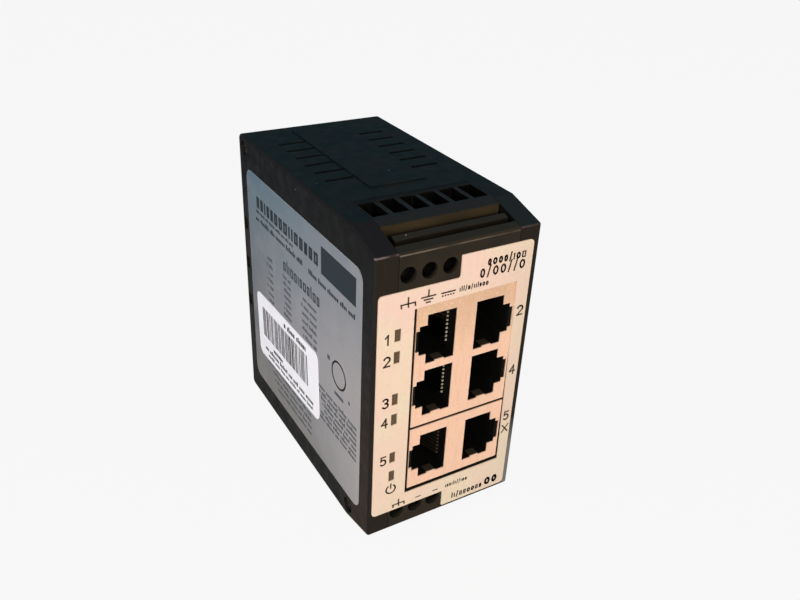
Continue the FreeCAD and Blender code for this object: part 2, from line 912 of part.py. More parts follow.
def front_label():
    corners = [
        (label_left, label_step_bottom, label_round),
        (label_step, label_step_bottom, label_inner_round / 2),
        (label_step, label_bottom_rise, label_inner_round / 2),
        (label_right, label_bottom_rise, label_round),
        (label_right, label_top, label_round),
        (label_step, label_top, label_inner_round / 2),
        (label_step, label_step_top, label_inner_round),
        (label_left, label_step_top, label_round),
    ]
    sheet = front_plate(corners, -label_thickness, 0)
    # The window is a little askew: it leaves a gap at the left, below and low on the right, and
    # covers the stack's top edge and the upper end of its right edge.
    window_left = stack_left - label_window_left
    window_right = stack_right - label_cover_right
    window_bottom = lower_stack_low - label_window_bottom
    window = [(window_left, window_bottom, 0), (stack_right + label_open_right, window_bottom, 0),
              (window_right, upper_stack_high - label_cover_top_right, 0),
              (window_left, upper_stack_high - label_cover_top_left, 0)]
    tools = [front_plate(window, -label_thickness - wall, wall)]
    for pair, z in lamp_places():
        tools.append(box(lamp_middle - lamp_width / 2, lamp_middle + lamp_width / 2,
                         -label_thickness - wall, wall, z - lamp_height / 2, z + lamp_height / 2))
    return cut(sheet, tools)


def side_label():
    return side_plate(side_label_corners(0), left_side, left_side + side_label_thickness)


def barcode_sticker():
    corners = rectangle(sticker_depth - sticker_length / 2, sticker_depth + sticker_length / 2,
                        sticker_level - sticker_height / 2, sticker_level + sticker_height / 2,
                        sticker_round)
    sheet = side_plate(corners, left_side - sticker_thickness, left_side)
    centre = Vector(left_side, sticker_depth, sticker_level)
    sheet.rotate(centre, Vector(1, 0, 0), -sticker_turn)
    return sheet


def channel(extra):
    # The latch's section with a clearance, as long as the foot needs.
    floor = case_depth + foot_floor + latch_gap - extra
    flange_rear = case_depth + foot_floor + latch_gap + latch_flange_thickness + extra
    half = latch_half_width + extra
    wide = half + latch_flange
    return floor, flange_rear, half, wide


def rail_foot():
    plate = front_plate(rectangle(-foot_half_width, foot_half_width, foot_low, foot_high, foot_round),
                        case_depth, rail_face)
    stem = box(-foot_half_width, foot_half_width, rail_face - foot_floor, foot_rear,
               hook_wall, hook_wall + hook_height)
    lip = box(-foot_half_width, foot_half_width, rail_face + rail_slot, foot_rear,
              hook_wall - hook_lip, hook_wall + hook_height)
    lip = lip.makeChamfer(hook_chamfer, edges_at_yz(lip, foot_rear, hook_wall - hook_lip))
    foot = fuse([plate, stem, lip])

    floor, flange_rear, half, wide = channel(latch_gap)
    closed = latch_top + latch_gap
    tools = [box(-wide, wide, floor, flange_rear, foot_low - wall, closed),
             box(-half, half, floor, rail_face + wall, foot_low - wall, closed)]
    for x, z in foot_screw_places():
        tools.append(rod_y(foot_screw_radius + running_gap, case_depth - wall, rail_face + wall, x, z))
        tools.append(rod_y(foot_head_radius + head_gap, rail_face - foot_head_sink - foot_head_height,
                           rail_face + wall, x, z))
    foot = cut(foot, tools)
    post = box(-window_half_width + latch_gap, window_half_width - latch_gap,
               case_depth + foot_floor / 2, rail_face - latch_gap * 2,
               window_low + latch_gap, window_low + latch_gap + spring_post_height)
    return fuse([foot, post])


def rail_latch():
    floor, flange_rear, half, wide = channel(0)
    low = latch_tab
    flange = box(-wide, wide, floor, flange_rear, foot_low, latch_top)
    spine = box(-half, half, floor, rail_face - latch_gap, low, latch_top)
    stem = box(-half, half, rail_face - latch_gap * 2, foot_rear, latch_wall - hook_height, latch_wall)
    lip = box(-half, half, rail_face + rail_slot, foot_rear,
              latch_wall - hook_height, latch_wall + hook_lip)
    lip = lip.makeChamfer(latch_chamfer, edges_at_yz(lip, foot_rear, latch_wall + hook_lip))
    latch = fuse([flange, spine, stem, lip])
    window = box(-window_half_width, window_half_width, case_depth, rail_face + wall,
                 window_low, window_high)
    pull = box(-pull_slot_width / 2, pull_slot_width / 2, case_depth, rail_face + wall,
               pull_slot_level, pull_slot_level + pull_slot_height)
    return cut(latch, [window, pull])


def latch_spring():
    low = window_low + latch_gap + spring_post_height
    high = window_high
    depth = case_depth + foot_floor + latch_gap + latch_body / 2
    length = high - low - 2 * spring_wire
    helix = Part.makeHelix(length / spring_turns, length, spring_radius)
    start = Vector(spring_radius, 0, 0)
    profile = Part.Wire(Part.makeCircle(spring_wire, start, Vector(0, 1, 0)))
    coil = Part.Wire(helix.Edges).makePipeShell([profile], True, True)
    coil.translate(Vector(0, depth, low + spring_wire))
    return coil


def foot_screw(x, z):
    head_rear = rail_face - foot_head_sink
    head_front = head_rear - foot_head_height
    head = rod_y(foot_head_radius, head_front, head_rear, x, z)
    shank = rod_y(foot_screw_radius, head_front - foot_screw_length, head_front, x, z)
    half = drive_width / 2
    reach = drive_reach
    drive = [box(x - reach, x + reach, head_rear - drive_depth, head_rear + wall, z - half, z + half),
             box(x - half, x + half, head_rear - drive_depth, head_rear + wall, z - reach, z + reach)]
    return cut(fuse([head, shank]), drive)


def build():
    parts["housing"] = housing()
    parts["side_cover"] = side_cover()
    parts["cover_screws"] = Part.makeCompound([cover_screw(y, z) for y, z in cover_screw_places()])
    parts["rail_foot"] = rail_foot()
    parts["rail_latch"] = rail_latch()
    parts["latch_spring"] = latch_spring()
    parts["foot_screws"] = Part.makeCompound([foot_screw(x, z) for x, z in foot_screw_places()])

    rows = (("top", top_screw_level, 1), ("bottom", bottom_screw_level, -1))
    number = 0
    for name, level, up in rows:
        parts[name + "_terminal_housing"] = terminal_housing(level, up)
        parts[name + "_terminal_board"] = terminal_board(level, up)
        for x in pole_places[:live_poles]:
            number += 1
            parts["terminal_screw_%d" % number] = terminal_screw(x, level)
            parts["clamp_cage_%d" % number] = clamp_cage(x, level)
            parts["contact_bar_%d" % number] = contact_bar(x, level, up)

    stacks = (("upper", upper_stack_low, upper_stack_high, port_rows[:2]),
              ("lower", lower_stack_low, lower_stack_high, port_rows[2:]))
    for name, low, high, levels in stacks:
        parts[name + "_socket_shield"] = socket_shield(low, high, levels)
        parts[name + "_socket_body"] = socket_body(low, high, levels)
        parts[name + "_socket_contacts"] = socket_contacts(levels)

    parts["main_board"] = main_board()
    parts["board_screws"] = Part.makeCompound([board_screw(y, z) for y, z in post_places()])
    for i, level in enumerate(lamp_levels):
        parts["light_pipe_%d" % (i + 1)] = light_pipe(level)
        parts["led_holder_%d" % (i + 1)] = led_holder(level)
    parts["status_leds"] = Part.makeCompound([status_led(z) for pair, z in lamp_places()])
    parts["switch_chip"] = switch_chip()
    for i, level in enumerate(port_rows):
        parts["line_transformer_%d" % (i + 1)] = block_part(
            transformer_depth, level, transformer_length, transformer_width, transformer_height,
            block_round)
    parts["clock_crystal"] = block_part(crystal_depth, crystal_level, crystal_length, crystal_width,
                                        crystal_height, crystal_round)
    for i, depth in enumerate(capacitor_depths):
        parts["bulk_capacitor_%d" % (i + 1)] = bulk_capacitor(depth)
    parts["power_inductor"] = power_inductor()
    parts["bridge_rectifier"] = block_part(rectifier_depth, rectifier_level, rectifier_length,
                                           rectifier_width, rectifier_height, block_round)
    parts["input_fuse"] = input_fuse()
    parts["front_label"] = front_label()
    parts["side_label"] = side_label()
    parts["barcode_sticker"] = barcode_sticker()


build()
os.makedirs("parts", exist_ok=True)
for node, shape in parts.items():
    shape.translate(to_origin)
    if not shape.isValid():
        print("not valid:", node)
    shape.exportStep("parts/" + node + ".step")
    box_size = shape.BoundBox
    print("%-26s solids %2d  volume %9.2f  x %7.2f %7.2f  y %7.2f %7.2f  z %7.2f %7.2f" % (
        node, len(shape.Solids), shape.Volume, box_size.XMin, box_size.XMax,
        box_size.YMin, box_size.YMax, box_size.ZMin, box_size.ZMax))
print("nodes", len(parts))
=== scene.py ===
import json
import math
import random

import bmesh
import bpy
from mathutils import Matrix, Vector


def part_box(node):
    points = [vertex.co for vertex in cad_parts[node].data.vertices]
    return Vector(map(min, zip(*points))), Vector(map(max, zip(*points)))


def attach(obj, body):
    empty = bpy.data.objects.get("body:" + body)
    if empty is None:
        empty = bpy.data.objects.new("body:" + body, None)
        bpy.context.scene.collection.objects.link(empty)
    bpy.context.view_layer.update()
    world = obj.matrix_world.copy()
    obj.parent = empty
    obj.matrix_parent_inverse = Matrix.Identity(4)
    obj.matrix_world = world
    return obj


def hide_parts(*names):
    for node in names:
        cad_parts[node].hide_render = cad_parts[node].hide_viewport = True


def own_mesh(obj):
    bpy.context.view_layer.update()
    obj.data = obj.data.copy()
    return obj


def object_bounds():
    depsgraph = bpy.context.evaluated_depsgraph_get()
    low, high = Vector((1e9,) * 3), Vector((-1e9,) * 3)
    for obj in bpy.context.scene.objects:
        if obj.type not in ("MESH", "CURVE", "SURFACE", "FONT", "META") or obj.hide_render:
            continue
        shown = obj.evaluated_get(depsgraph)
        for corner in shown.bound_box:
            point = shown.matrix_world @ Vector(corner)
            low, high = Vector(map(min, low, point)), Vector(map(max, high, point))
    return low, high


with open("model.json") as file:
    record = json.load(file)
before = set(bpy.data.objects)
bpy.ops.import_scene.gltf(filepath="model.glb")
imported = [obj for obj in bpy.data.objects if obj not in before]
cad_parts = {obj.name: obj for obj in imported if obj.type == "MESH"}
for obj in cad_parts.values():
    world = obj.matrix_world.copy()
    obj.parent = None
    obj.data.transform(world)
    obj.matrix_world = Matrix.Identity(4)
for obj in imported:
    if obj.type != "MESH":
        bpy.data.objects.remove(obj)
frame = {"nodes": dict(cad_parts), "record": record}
cadLow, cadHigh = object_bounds()
nodes = frame["nodes"]
mm = 0.001
housingLow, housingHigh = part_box("housing")
print("frame loaded:", len(nodes), "nodes")


def spot(x, depth, z):
    # millimetres: x from the middle, depth back from the front face, z up from the underside
    return Vector((x * mm, housingLow.y + depth * mm, z * mm))


# ---- camera, floor and light

cameraSetup = {
    "stands": (-86.31, -118.44, 143.31),
    "aims": (13.19, 45.07, 34.84),
    "rollDegrees": 2.66,
    "lens": 35.92,
    "sensor": 36,
    "sees": (0.01, 20),
}


def makeCamera(setup):
    data = bpy.data.cameras.new("camera")
    data.lens = setup["lens"]
    data.sensor_width = setup["sensor"]
    data.clip_start, data.clip_end = setup["sees"]
    camera = bpy.data.objects.new("camera", data)
    bpy.context.scene.collection.objects.link(camera)
    stands = spot(*setup["stands"])
    look = spot(*setup["aims"]) - stands
    roll = Matrix.Rotation(math.radians(setup["rollDegrees"]), 4, "Z")
    turned = look.to_track_quat("-Z", "Y").to_matrix().to_4x4() @ roll
    camera.matrix_world = Matrix.Translation(stands) @ turned
    bpy.context.scene.camera = camera


studio = {
    "floorSize": 8.0,
    "floorGap": 0.02,
    "floorGlow": 0.905,
    "floorColour": (0.035, 0.035, 0.035),
    "bounceColour": (0.62, 0.62, 0.62),
    "paleSky": (0.939, 0.939, 0.939),
    "skyStrength": 0.60,
    "skyFront": (0.94, 0.92, 0.92),
    "skyBehind": (0.16, 0.30, 0.38),
    "skyTurns": (-0.35, 0.75),
    "keyPower": 2.15,
    "keyColour": (1.0, 0.92, 0.83),
    "keyStands": (-130, -440, 290),
    "keySize": 0.35,
    "fillPower": 1.46,
    "fillColour": (0.93, 0.96, 1.0),
    "fillStands": (-430, -150, 130),
    "fillSize": 0.45,
}


def makeLamp(lamp, setup, aims):
    data = bpy.data.lights.new(lamp + "Lamp", "AREA")
    data.energy = setup[lamp + "Power"]
    data.color = setup[lamp + "Colour"]
    data.shape = "DISK"
    data.size = setup[lamp + "Size"]
    made = bpy.data.objects.new(lamp + "Lamp", data)
    bpy.context.scene.collection.objects.link(made)
    made.location = spot(*setup[lamp + "Stands"])
    made.rotation_euler = (aims - made.location).to_track_quat("-Z", "Y").to_euler()


def makeFloor(setup):
    # seen straight on it glows an even pale grey; to all other light it is a plain matt floor
    half = setup["floorSize"] / 2
    mesh = bpy.data.meshes.new("studioFloor")
    corners = [(-half, -half, 0), (half, -half, 0), (half, half, 0), (-half, half, 0)]
    mesh.from_pydata(corners, [], [(0, 1, 2, 3)])
    floor = bpy.data.objects.new("studioFloor", mesh)
    bpy.context.scene.collection.objects.link(floor)
    floor.location.z = cadLow.z - setup["floorGap"] * mm
    material = bpy.data.materials.new("paleFloor")
    material.use_nodes = True
    tree = material.node_tree
    tree.nodes.clear()
    output = tree.nodes.new("ShaderNodeOutputMaterial")
    paint = tree.nodes.new("ShaderNodeBsdfDiffuse")
    paint.inputs["Color"].default_value = (*setup["floorColour"], 1)
    bounce = tree.nodes.new("ShaderNodeBsdfDiffuse")
    bounce.inputs["Color"].default_value = (*setup["bounceColour"], 1)
    glow = tree.nodes.new("ShaderNodeEmission")
    glow.inputs["Strength"].default_value = setup["floorGlow"]
    both = tree.nodes.new("ShaderNodeAddShader")
    rays = tree.nodes.new("ShaderNodeLightPath")
    choose = tree.nodes.new("ShaderNodeMixShader")
    tree.links.new(rays.outputs["Is Camera Ray"], choose.inputs["Fac"])
    tree.links.new(paint.outputs[0], both.inputs[0])
    tree.links.new(glow.outputs[0], both.inputs[1])
    tree.links.new(bounce.outputs[0], choose.inputs[1])
    tree.links.new(both.outputs[0], choose.inputs[2])
    tree.links.new(choose.outputs[0], output.inputs["Surface"])
    mesh.materials.append(material)


def makeSky(setup):
    # lighter and warmer in front of the switch than behind it, and where it is seen itself an
    # even pale grey
    world = bpy.data.worlds.new("studioSky")
    bpy.context.scene.world = world
    world.use_nodes = True
    tree = world.node_tree
    sky = tree.nodes["Background"]
    sky.inputs["Strength"].default_value = setup["skyStrength"]
    apart = tree.nodes.new("ShaderNodeSeparateXYZ")
    tree.links.new(tree.nodes.new("ShaderNodeTexCoord").outputs["Generated"], apart.inputs[0])
    behind = tree.nodes.new("ShaderNodeMapRange")
    start, end = setup["skyTurns"]
    behind.inputs["From Min"].default_value = start
    behind.inputs["From Max"].default_value = end
    tree.links.new(apart.outputs["Y"], behind.inputs["Value"])
    blend = tree.nodes.new("ShaderNodeMix")
    blend.data_type = "RGBA"
    blend.inputs["A"].default_value = (*setup["skyFront"], 1)
    blend.inputs["B"].default_value = (*setup["skyBehind"], 1)
    tree.links.new(behind.outputs["Result"], blend.inputs["Factor"])
    tree.links.new(blend.outputs["Result"], sky.inputs["Color"])
    pale = tree.nodes.new("ShaderNodeBackground")
    pale.inputs["Color"].default_value = (*setup["paleSky"], 1)
    choose = tree.nodes.new("ShaderNodeMixShader")
    rays = tree.nodes.new("ShaderNodeLightPath")
    tree.links.new(rays.outputs["Is Camera Ray"], choose.inputs["Fac"])
    tree.links.new(sky.outputs[0], choose.inputs[1])
    tree.links.new(pale.outputs[0], choose.inputs[2])
    tree.links.new(choose.outputs[0], tree.nodes["World Output"].inputs["Surface"])


def makeStudio(setup):
    makeFloor(setup)
    makeSky(setup)
    aims = (cadLow + cadHigh) / 2
    for lamp in ("key", "fill"):
        makeLamp(lamp, setup, aims)
    bpy.context.scene.view_settings.view_transform = "Standard"


makeCamera(cameraSetup)
makeStudio(studio)
print("camera and studio ready")


# ---- finishes

# what all finishes share: grains in millimetres, and the values a noise starts and ends at
texture = {
    "roughEnds": (0.3, 0.7),
    "bumpEnds": (0.2, 0.8),
    "edgeEnds": (0.995, 0.9),
    "edgePatchGrain": 2.5,
    "edgePatchEnds": (0.42, 0.62),
    "speckEnds": (0.56, 0.6),
    "lineGrain": 4.0,
    "lineEnds": (0.30, 0.55),
    "lineSkin": (0.6, 0.4),
    "lineSoft": 0.12,
    "lineFade": 1.6,
}
# how far a face is turned to an axis before a tint lies on it
turned = {
    "up": (0.9, 0.95),
    "aslant": (0.99, 0.97),
    "front": (-0.9, -0.98),
    "left": (-0.9, -0.98),
    "side": (0.8, 0.95),
}


class Finish:
    # a material whose parts are added one by one; every size is in millimetres
    def __init__(self, name, colour, rough, metal=0.0, specular=0.5):
        self.material = bpy.data.materials.new(name)
        self.material.use_nodes = True
        self.tree = self.material.node_tree
        self.shader = self.tree.nodes["Principled BSDF"]
        self.shader.inputs["Metallic"].default_value = metal
        self.shader.inputs["Specular IOR Level"].default_value = specular
        self.shader.inputs["Base Color"].default_value = (*colour, 1)
        self.shader.inputs["Roughness"].default_value = rough
        self.place = self.node("ShaderNodeTexCoord").outputs["Object"]
        self.colour = None
        self.plainColour = (*colour, 1)

    def node(self, kind, **values):
        made = self.tree.nodes.new(kind)
        for key, value in values.items():
            setattr(made, key, value)
        return made

    def link(self, start, end):
        self.tree.links.new(start, end)

    def stretched(self, stretch):
        if stretch is None:
            return self.place
        mapping = self.node("ShaderNodeMapping")
        mapping.inputs["Scale"].default_value = stretch
        self.link(self.place, mapping.inputs["Vector"])
        return mapping.outputs["Vector"]

    def noise(self, grain, low, high, detail=3, stretch=None):
        # 0 where the noise is under low, 1 where it is over high
        made = self.node("ShaderNodeTexNoise")
        made.inputs["Scale"].default_value = 1 / (grain * mm)
        made.inputs["Detail"].default_value = detail
        self.link(self.stretched(stretch), made.inputs["Vector"])
        return self.ramp(made.outputs["Fac"], low, high)

    def ramp(self, value, low, high, start=0.0, end=1.0):
        made = self.node("ShaderNodeMapRange")
        made.inputs["From Min"].default_value = low
        made.inputs["From Max"].default_value = high
        made.inputs["To Min"].default_value = start
        made.inputs["To Max"].default_value = end
        self.link(value, made.inputs["Value"])
        return made.outputs["Result"]

    def times(self, first, second):
        made = self.node("ShaderNodeMath", operation="MULTIPLY")
        for socket, value in zip(made.inputs, (first, second)):
            if isinstance(value, (int, float)):
                socket.default_value = value
            else:
                self.link(value, socket)
        return made.outputs[0]

    def tint(self, colour, amount):
        # lays a second colour over what is there, where amount is 1
        made = self.node("ShaderNodeMix", data_type="RGBA")
        self.link(amount, made.inputs["Factor"])
        if self.colour is None:
            made.inputs["A"].default_value = self.plainColour
        else:
            self.link(self.colour, made.inputs["A"])
        made.inputs["B"].default_value = (*colour, 1)
        self.colour = made.outputs["Result"]
        self.link(self.colour, self.shader.inputs["Base Color"])
        return self

    def mottle(self, colour, grain, strength=1.0, low=0.35, high=0.7, stretch=None):
        patches = self.noise(grain, low, high, stretch=stretch)
        return self.tint(colour, self.times(patches, strength))

    def roughen(self, low, high, grain):
        made = self.noise(grain, *texture["roughEnds"])
        self.link(self.ramp(made, 0, 1, low, high), self.shader.inputs["Roughness"])
        return self

    def roughenBy(self, values):
        rough = values["rough"]
        low, high = rough - values["smoother"], rough + values["rougher"]
        return self.roughen(low, high, values["roughGrain"])

    def bump(self, grain, depth):
        made = self.node("ShaderNodeBump")
        made.inputs["Distance"].default_value = depth * mm
        self.link(self.noise(grain, *texture["bumpEnds"], detail=2), made.inputs["Height"])
        before = self.shader.inputs["Normal"].links
        if before:
            self.link(before[0].from_socket, made.inputs["Normal"])
        self.link(made.outputs["Normal"], self.shader.inputs["Normal"])
        return self

    def edges(self, width):
        # 1 on sharp edges, from how far a rounded normal turns away from the flat one
        rounded = self.node("ShaderNodeBevel", samples=6)
        rounded.inputs["Radius"].default_value = width * mm
        flat = self.node("ShaderNodeNewGeometry")
        turn = self.node("ShaderNodeVectorMath", operation="DOT_PRODUCT")
        self.link(rounded.outputs["Normal"], turn.inputs[0])
        self.link(flat.outputs["Normal"], turn.inputs[1])
        return self.ramp(turn.outputs["Value"], *texture["edgeEnds"])

    def edgeWearAndGlints(self, colour, width, strength):
        # lighter edges in patches: wear on the plastics and the board, painted highlights on the
        # shield, painted glints on the screws
        patches = self.noise(texture["edgePatchGrain"], *texture["edgePatchEnds"], detail=5)
        return self.tint(colour, self.times(self.times(self.edges(width), patches), strength))

    def specks(self, colour, spacing, size, strength):
        # sparse dust grains and nicks
        made = self.node("ShaderNodeTexVoronoi")
        made.inputs["Scale"].default_value = 1 / (spacing * mm)
        self.link(self.place, made.inputs["Vector"])
        dot = self.ramp(made.outputs["Distance"], size / spacing, size / spacing * 0.5)
        few = self.noise(spacing * 3, *texture["speckEnds"])
        return self.tint(colour, self.times(self.times(dot, few), strength))

    def along(self, axis, start, end):
        # 0 at start and 1 at end, both measured in the frame's metres along one axis
        apart = self.node("ShaderNodeSeparateXYZ")
        self.link(self.place, apart.inputs[0])
        return self.ramp(apart.outputs[axis], start, end)

    def behindFront(self, start, end):
        # 0 at start and 1 at end, in millimetres behind the front face
        return self.along("Y", housingLow.y + start * mm, housingLow.y + end * mm)

    def above(self, start, end):
        # 0 at start and 1 at end, in millimetres over the underside
        return self.along("Z", start * mm, end * mm)

    def deep(self, colour, start, end, strength=1.0):
        # a second colour that takes over with depth behind the front face
        return self.tint(colour, self.times(self.behindFront(start, end), strength))

    def below(self, slopes, start, end):
        # 0 at start and 1 at end, in millimetres under the two sloping ends of the front, but not
        # on the front face itself; the underside is the top turned over
        middle = (housingLow.z + housingHigh.z) / 2
        apart = self.node("ShaderNodeSeparateXYZ")
        self.link(self.place, apart.inputs[0])
        fromMiddle = self.node("ShaderNodeMath", operation="SUBTRACT")
        self.link(apart.outputs["Z"], fromMiddle.inputs[0])
        fromMiddle.inputs[1].default_value = middle
        height = self.node("ShaderNodeMath", operation="ABSOLUTE")
        self.link(fromMiddle.outputs[0], height.inputs[0])
        joined = self.node("ShaderNodeCombineXYZ")
        self.link(apart.outputs["Y"], joined.inputs["Y"])
        self.link(height.outputs[0], joined.inputs["Z"])
        lean = Vector((0, -slopes["drop"], slopes["run"])).normalized()
        along = self.node("ShaderNodeVectorMath", operation="DOT_PRODUCT")
        self.link(joined.outputs[0], along.inputs[0])
        along.inputs[1].default_value = lean
        top = Vector((0, housingLow.y + slopes["run"] * mm, slopes["top"] * mm - middle)).dot(lean)
        amount = self.ramp(along.outputs["Value"], top - start * mm, top - end * mm)
        return self.times(amount, self.behindFront(*slopes["skin"]))

    def facing(self, axis, low, high):
        # 0 where the face's direction along that axis is low, 1 where it is high
        apart = self.node("ShaderNodeSeparateXYZ")
        normal = self.node("ShaderNodeNewGeometry")
        self.link(normal.outputs["Normal"], apart.inputs[0])
        return self.ramp(apart.outputs[axis], low, high)

    def frontEdgeHighlight(self, values):
        # a painted highlight: a thin pale line along the front face's upper edge, fading towards the
        # right
        low, high, soft = values["from"], values["to"], texture["lineSoft"]
        line = self.times(self.above(low, low + soft), self.above(high, high - soft))
        fading = self.along("X", housingHigh.x * texture["lineFade"], housingLow.x)
        patches = self.noise(texture["lineGrain"], *texture["lineEnds"], detail=4)
        patches = self.times(patches, fading)
        line = self.times(self.behindFront(*texture["lineSkin"]), line)
        return self.tint(values["colour"], self.times(line, self.times(patches, values["amount"])))

    def dustAndSkyTint(self, colour, strength, grain, low, high, flat):
        # tints what faces up: real dust, and on the case a painted cool sky light in teal; a flat of
        # 0.96 leaves the slopes clean
        amount = self.times(self.facing("Z", flat, 1.0), self.noise(grain, low, high, detail=6))
        return self.tint(colour, self.times(amount, strength))


def terminalTints(made, values):
    # painted light: blue grey on the slope, warmer on the rib and in front of it, only the rear
    # groove's wall lit; painted shade in the recesses
    rib, wall = values["ribEnds"], values["wallEnds"]
    flat = made.facing("Z", *turned["up"])
    # painted cool sky light on the upward faces
    made.tint(values["slope"], made.times(flat, values["slopeAmount"]))
    # painted warm light on the rib and in front of it
    onRib = made.times(flat, made.behindFront(*rib[::-1]))
    made.tint(values["rib"], made.times(onRib, values["ribAmount"]))
    # painted light on the rear groove's wall, in patches
    walls = made.times(made.facing("Y", *turned["front"]), made.below(frontSlopes, 0.0, 0.4))
    lit = made.times(walls, made.times(made.behindFront(*rib), made.behindFront(*wall[::-1])))
    patches = made.noise(values["wallGrain"], *values["wallPatches"], detail=5, stretch=(0.3, 1, 1))
    made.tint(values["wall"], made.times(lit, patches))
    # painted shade on the entries' walls and on the rib's front
    entries = made.times(walls, made.behindFront(*wall))
    made.tint(values["entry"], made.times(entries, values["entryAmount"]))
    ribFront = made.times(walls, made.behindFront(*rib[::-1]))
    made.tint(values["ribFront"], made.times(ribFront, values["ribFrontAmount"]))
    # painted shade: near black deeper under the slope and on the side walls
    made.tint(values["deep"], made.below(frontSlopes, *values["deepEnds"]))
    start, end = turned["side"]
    for way in (-1, 1):
        sides = made.facing("X", way * start, way * end)
        made.tint(values["deep"], made.times(sides, made.below(frontSlopes, 0.1, 0.5)))


def caseTints(made, values):
    # painted sky light: teal on the slope's right end, violet on its left one; then painted light
    # and shade on the front, side and slots
    # painted cool sky light on the case top: violet, then teal towards the right
    slope = made.times(made.facing("Z", *turned["up"]), made.facing("Z", *turned["aslant"]))
    made.tint(values["slopeLeft"], made.times(slope, values["slopeLeftAmount"]))
    right = made.along("X", 0.0, housingHigh.x * values["slopeRightShare"])
    made.tint(values["slopeRight"], made.times(slope, right))
    front = made.facing("Y", *turned["front"])
    side = made.facing("X", *turned["left"])
    # painted warm light on the front faces
    made.tint(values["front"], made.times(front, values["frontAmount"]))
    # painted warm light on the side's lower front
    low = made.times(made.above(*values["lowEnds"]), made.behindFront(*values["lowDepths"]))
    made.tint(values["low"], made.times(side, low))
    rear = made.behindFront(*values["bottomDepths"])
    bottom = made.times(side, made.times(made.above(*values["bottomEnds"]), rear))
    made.tint(values["bottom"], made.times(bottom, values["bottomAmount"]))
    # painted cool shade on the side's upper rear
    upper = made.times(side, made.above(*values["highEnds"]))
    rear = made.ramp(made.behindFront(*values["highDepths"]), 0, 1, *values["highAmounts"])
    made.tint(values["high"], made.times(upper, rear))
    # painted shade on the slots' front walls and on the strip's left wall
    made.tint(values["slot"], made.times(front, made.above(*values["slotEnds"])))
    made.tint(values["slot"], made.times(side, made.above(*values["stripEnds"])))
    # a painted reflection of the pale floor on the front's lower right edge
    start, end = [housingHigh.x - margin * mm for margin in values["cornerMargins"]]
    rightEdge = made.times(front, made.along("X", start, end))
    made.tint(values["paintedFloorReflection"], made.times(rightEdge, made.above(*values["cornerEnds"])))


# shared by the three moulded plastics
moulded = {
    "patchAmount": 0.8,
    "speckSpacing": 4.0,
    "speckSize": 0.24,
    "smoother": 0.08,
    "rougher": 0.1,
    "roughGrain": 3.0,
    "grain": 0.28,
    "wave": 7.0,
}


def caseFinish(name, values):
    made = Finish(name, values["colour"], values["rough"], specular=values["specular"])
    made.mottle(values["patch"], values["patchGrain"], moulded["patchAmount"])
    made.dustAndSkyTint(values["dustAndSkyTint"], values["dustAndSkyTintAmount"], values["dustAndSkyTintGrain"], *values["dustAndSkyTintEnds"])
    if "slope" in values:
        terminalTints(made, values)
    if "slot" in values:
        caseTints(made, values)
    made.edgeWearAndGlints(values["wearAndGlint"], values["wornWidth"], values["wornAmount"])
    # a painted highlight along the front's upper edge
    if "frontEdgeHighlight" in values:
        made.frontEdgeHighlight(values["frontEdgeHighlight"])
    specks = (moulded["speckSpacing"], moulded["speckSize"], values["speckAmount"])
    made.specks(values["speck"], *specks)
    low, high = values["rough"] - moulded["smoother"], values["rough"] + moulded["rougher"]
    made.roughen(low, high, moulded["roughGrain"])
    made.bump(moulded["grain"], values["grainDepth"])
    made.bump(moulded["wave"], values["waveDepth"])
    return made.material


frontSlopes = {"run": 10.6, "drop": 2.9, "top": 78.0, "skin": (0.7, 1.2)}
casePlastic = {
    "colour": (0.0105, 0.0090, 0.0088),
    "patch": (0.0145, 0.0120, 0.0112),
    "patchGrain": 12.0,
    # painted cool sky light: a teal cast on the case's upward faces
    "dustAndSkyTint": (0.0036, 0.0090, 0.0104),
    "dustAndSkyTintAmount": 0.95,
    "dustAndSkyTintGrain": 6,
    "dustAndSkyTintEnds": (0.10, 0.60, 0.96),
    # painted cool sky light: violet on the slope's left, teal on its right
    "slopeLeft": (0.0078, 0.0072, 0.0088),
    "slopeLeftAmount": 0.8,
    "slopeRight": (0.0085, 0.0125, 0.0128),
    "slopeRightShare": 0.8,
    # painted shade in the slots and on the strip's wall
    "slot": (0.0030, 0.0038, 0.0038),
    "slotEnds": (75.3, 75.6),
    "stripEnds": (77.97, 78.02),
    # painted warm light on the case front
    "front": (0.0145, 0.0104, 0.0062),
    "frontAmount": 0.8,
    # painted warm light on the side's lower front
    "low": (0.0250, 0.0150, 0.0080),
    "lowEnds": (55, 10),
    "lowDepths": (30, 0),
    "bottom": (0.0050, 0.0056, 0.0040),
    "bottomEnds": (7.4, 6.0),
    "bottomDepths": (6, 16),
    "bottomAmount": 0.85,
    # painted cool shade on the side's upper rear
    "high": (0.0006, 0.0014, 0.0022),
    "highEnds": (50, 68),
    "highDepths": (0, 60),
    "highAmounts": (0.55, 1.0),
    # a painted reflection of the pale floor on the front's right edge
    "paintedFloorReflection": (0.150, 0.140, 0.130),
    "cornerEnds": (24, 15),
    "cornerMargins": (1.8, 1.5),
    "wearAndGlint": (0.10, 0.09, 0.085),
    "wornWidth": 0.3,
    "wornAmount": 0.05,
    # a painted highlight along the case front's upper edge
    "frontEdgeHighlight": {"colour": (0.120, 0.086, 0.088), "amount": 0.95, "from": 74.70, "to": 75.15},
    "speck": (0.20, 0.19, 0.18),
    "speckAmount": 0.7,
    "rough": 0.50,
    "specular": 0.08,
    "grainDepth": 0.010,
    "waveDepth": 0.004,
}
